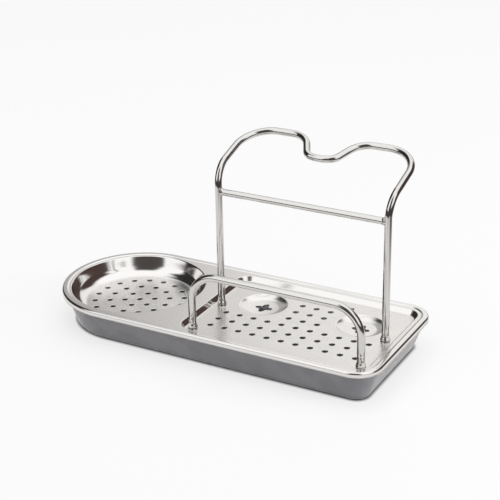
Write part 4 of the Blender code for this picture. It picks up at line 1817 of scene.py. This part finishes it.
@dataclass
class Studio:
    """White floor, studio surroundings, soft lamps and the camera."""

    floor_size: float = 14.0
    floor_level: float = -0.0002
    focal_pixels: float = 1309.6
    image_pixels: float = 500.0
    sensor: float = 36.0
    clip_start: float = 0.01
    clip_end: float = 100.0
    yaw: float = math.radians(29.18)
    pitch: float = math.radians(23.34)
    roll: float = math.radians(-1.09)
    position: Triple = (0.38369, -0.66012, 0.3889)
    overhead: Triple = (1.16, 1.16, 1.17)
    room: Triple = (0.065, 0.055, 0.055)
    room_top: float = math.radians(15.0)
    overhead_start: float = math.radians(31.0)
    cards: tuple[Card, ...] = (
        Card(-49.0, 18.0, 6.0, 46.0, 4.0, (0.46, 0.45, 0.44)),
        Card(-7.0, 24.0, 6.0, 48.0, 5.0, (0.98, 0.97, 0.96)),
        Card(-89.0, 33.0, -4.0, 57.0, 6.0, (0.030, 0.027, 0.028)),
        Card(47.0, 36.0, -12.0, 45.0, 6.0, (0.075, 0.050, 0.045)),
        Card(164.0, 27.0, -12.0, 62.0, 9.0, (0.078, 0.068, 0.066)),
        Card(-146.0, 21.0, 8.0, 70.0, 3.0, (1.15, 1.15, 1.15)),
        Card(114.0, 22.0, 9.0, 70.0, 4.0, (1.15, 1.15, 1.15)),
    )
    lamps: tuple[Lamp, ...] = (
        Lamp("overhead_softbox", (-0.25, 0.1, 1.5), 0.9, 2.6),
        Lamp("side_softbox", (1.1, -0.7, 0.9), 0.5, 1.0),
        Lamp("end_softbox", (1.2, 0.35, 0.35), 0.5, 5.6),
    )

    def build(self) -> None:
        """Build everything around the object."""
        self.build_floor()
        self.build_world()
        for lamp in self.lamps:
            self.build_lamp(lamp)
        self.build_camera()

    def build_floor(self) -> None:
        """Build the floor."""
        half = self.floor_size / 2
        corners = at_level([(-half, -half), (half, -half), (half, half), (-half, half)],
                           self.floor_level)
        data = new_mesh("studio_floor", corners, faces=[(0, 1, 2, 3)])
        data.materials.append(FloorFinish(self.room).build())
        floor = linked("studio_floor", data)

    @staticmethod
    def build_card_group() -> Tree:
        """Mask of one region of the studio.

        Returns:
            The group.
        """
        nodes, given = open_tree("studio_card", SHADER_TREE, [
            ("Direction", "Vector", None),
            ("Azimuth", "Float", 0.0),
            ("Half Width", "Float", 0.2),
            ("Low", "Float", 0.0),
            ("High", "Float", 0.5),
            ("Soft", "Float", 0.05),
        ], ["Mask"])
        turned = nodes.add("ShaderNodeVectorRotate", {
            "Vector": given["Direction"], "Angle": given["Azimuth"]}, rotation_type="Z_AXIS")
        parts = nodes.node("ShaderNodeSeparateXYZ", {0: turned}).outputs
        across = nodes.math("ABSOLUTE", nodes.math("ARCTAN2", parts[0], parts[1]))
        up = nodes.math("ARCSINE", parts[2])
        mask: object = 1.0
        for value, name, before in ((across, "Half Width", 1.0), (up, "Low", 0.0),
                                    (up, "High", 1.0)):
            step = nodes.remap(value, nodes.math("SUBTRACT", given[name], given["Soft"]),
                               nodes.math("ADD", given[name], given["Soft"]), before,
                               1.0 - before, smooth=True)
            mask = nodes.math("MULTIPLY", mask, step)
        nodes.node("NodeGroupOutput", {"Mask": mask})
        return nodes.tree

    def build_world(self) -> None:
        """Build the studio surroundings: white to the camera, cards to everything else."""
        world = bpy.data.worlds.new("studio")
        bpy.context.scene.world = world
        world.use_nodes = True
        nodes = Nodes(world.node_tree)
        group = self.build_card_group()
        direction = nodes.node("ShaderNodeTexCoord").outputs["Generated"]
        up = nodes.node("ShaderNodeSeparateXYZ", {0: direction}).outputs[2]
        share = nodes.remap(up, math.sin(self.room_top), math.sin(self.overhead_start),
                            smooth=True)
        colour = nodes.mix(share, self.room, self.overhead)
        for card in self.cards:
            angles = {"Azimuth": card.azimuth, "Half Width": card.half_width, "Low": card.low,
                      "High": card.high, "Soft": card.soft}
            mask = nodes.group(group, {"Direction": direction, **{
                name: math.radians(angle) for name, angle in angles.items()}})["Mask"]
            colour = nodes.mix(mask, colour, card.colour)
        seen = nodes.node("ShaderNodeLightPath").outputs["Is Camera Ray"]
        back = nodes.add("ShaderNodeBackground", {
            "Color": nodes.mix(seen, colour, (1.0, 1.0, 1.0)), "Strength": 1.0})
        nodes.node("ShaderNodeOutputWorld", {"Surface": back})

    @staticmethod
    def build_lamp(lamp: Lamp) -> None:
        """Build one soft lamp.

        Args:
            lamp: Its name, place, size and power.
        """
        data = bpy.data.lights.new(lamp.name, "AREA")
        data.shape = "SQUARE"
        data.size = lamp.size
        data.energy = lamp.power
        item = linked(lamp.name, data)
        item.location = lamp.place
        item.rotation_euler = Vector(lamp.place).to_track_quat("Z", "Y").to_euler()
        item.visible_glossy = False

    def build_camera(self) -> None:
        """Build the camera of the photograph's view."""
        ahead = Vector((-math.sin(self.yaw) * math.cos(self.pitch),
                        math.cos(self.yaw) * math.cos(self.pitch), -math.sin(self.pitch)))
        right = Vector((math.cos(self.yaw), math.sin(self.yaw), 0.0))
        up = right.cross(ahead)
        across = math.cos(self.roll) * right + math.sin(self.roll) * up
        upright = -math.sin(self.roll) * right + math.cos(self.roll) * up
        data = bpy.data.cameras.new("photo_view")
        data.sensor_width = self.sensor
        data.lens = self.focal_pixels / self.image_pixels * self.sensor
        data.clip_start, data.clip_end = self.clip_start, self.clip_end
        camera = linked("photo_view", data)
        turn = Matrix((across, upright, -ahead)).transposed().to_4x4()
        camera.matrix_world = Matrix.Translation(self.position) @ turn
        bpy.context.scene.camera = camera


PLATE_STEEL = SteelFinish(
    "plate_steel", light=(0.84, 0.825, 0.81), dark=(0.72, 0.71, 0.69), satin_roughness=0.46,
    mirror_roughness=0.12, speckle_scale=1500.0, line_scale=(90.0, 3000.0, 3000.0),
    line_share=0.25, grain_height=0.00003, grain_roughness=0.14)
DISH_RINGS = RingLines((0.0, 0.0, 0.0), radius=0.0385, soft=0.004, scale=2600.0,
                       height=0.00008)
WIRE_STEEL = SteelFinish(
    "wire_steel", light=(0.72, 0.71, 0.69), dark=(0.66, 0.65, 0.63), satin_roughness=0.32,
    mirror_roughness=0.07, speckle_scale=1800.0, line_scale=(500.0, 500.0, 90.0),
    line_share=0.4, grain_height=0.00001, grain_roughness=0.10, polish=0.85)
BAR_STEEL = replace(WIRE_STEEL, name="bar_steel", line_scale=(90.0, 500.0, 500.0))
FASTENER_STEEL = SteelFinish(
    "fastener_steel", light=(0.66, 0.655, 0.65), dark=(0.58, 0.575, 0.57),
    satin_roughness=0.36, mirror_roughness=0.15, speckle_scale=1500.0,
    line_scale=(300.0, 300.0, 900.0), line_share=0.5, grain_height=0.00001,
    grain_roughness=0.12, polish=0.4)
SMOKE_PLASTIC = SmokeFinish(
    "smoke_plastic", light=(0.49, 0.485, 0.515), dark=(0.42, 0.415, 0.44),
    painted_floor_shade=(0.06, 0.06, 0.065), roughness=0.09, transmission=0.54, ior=1.49)


def main() -> None:
    """Build the sink organizer and its studio."""
    logging.basicConfig(level=logging.INFO, format="%(name)s %(levelname)s %(message)s")
    bpy.context.scene.view_settings.view_transform = "Standard"
    effects = SurfaceEffects()
    trees = GeometryTrees()
    plan = PlatePlan()
    wire_steel = WIRE_STEEL.build(effects)
    fastener_steel = FASTENER_STEEL.build(effects)
    DripTray(plan, SMOKE_PLASTIC.build(effects)).build()
    rings = replace(DISH_RINGS, centre=(plan.round_x, 0.0, 0.0))
    StrainerPlate(plan, trees, replace(PLATE_STEEL, rings=rings).build(effects)).build()
    rack = WireRack(plan, trees, wire_steel)
    rack.build_wire()
    rack.build_bar(BAR_STEEL.build(effects))
    WireRail(plan, trees, wire_steel).build()
    for name, place in plan.feet.items():
        fixing = FootFixing(place, name, fastener_steel)
        fixing.build_washer()
        fixing.build_nut()
    Studio().build()


if __name__ == "__main__":
    main()
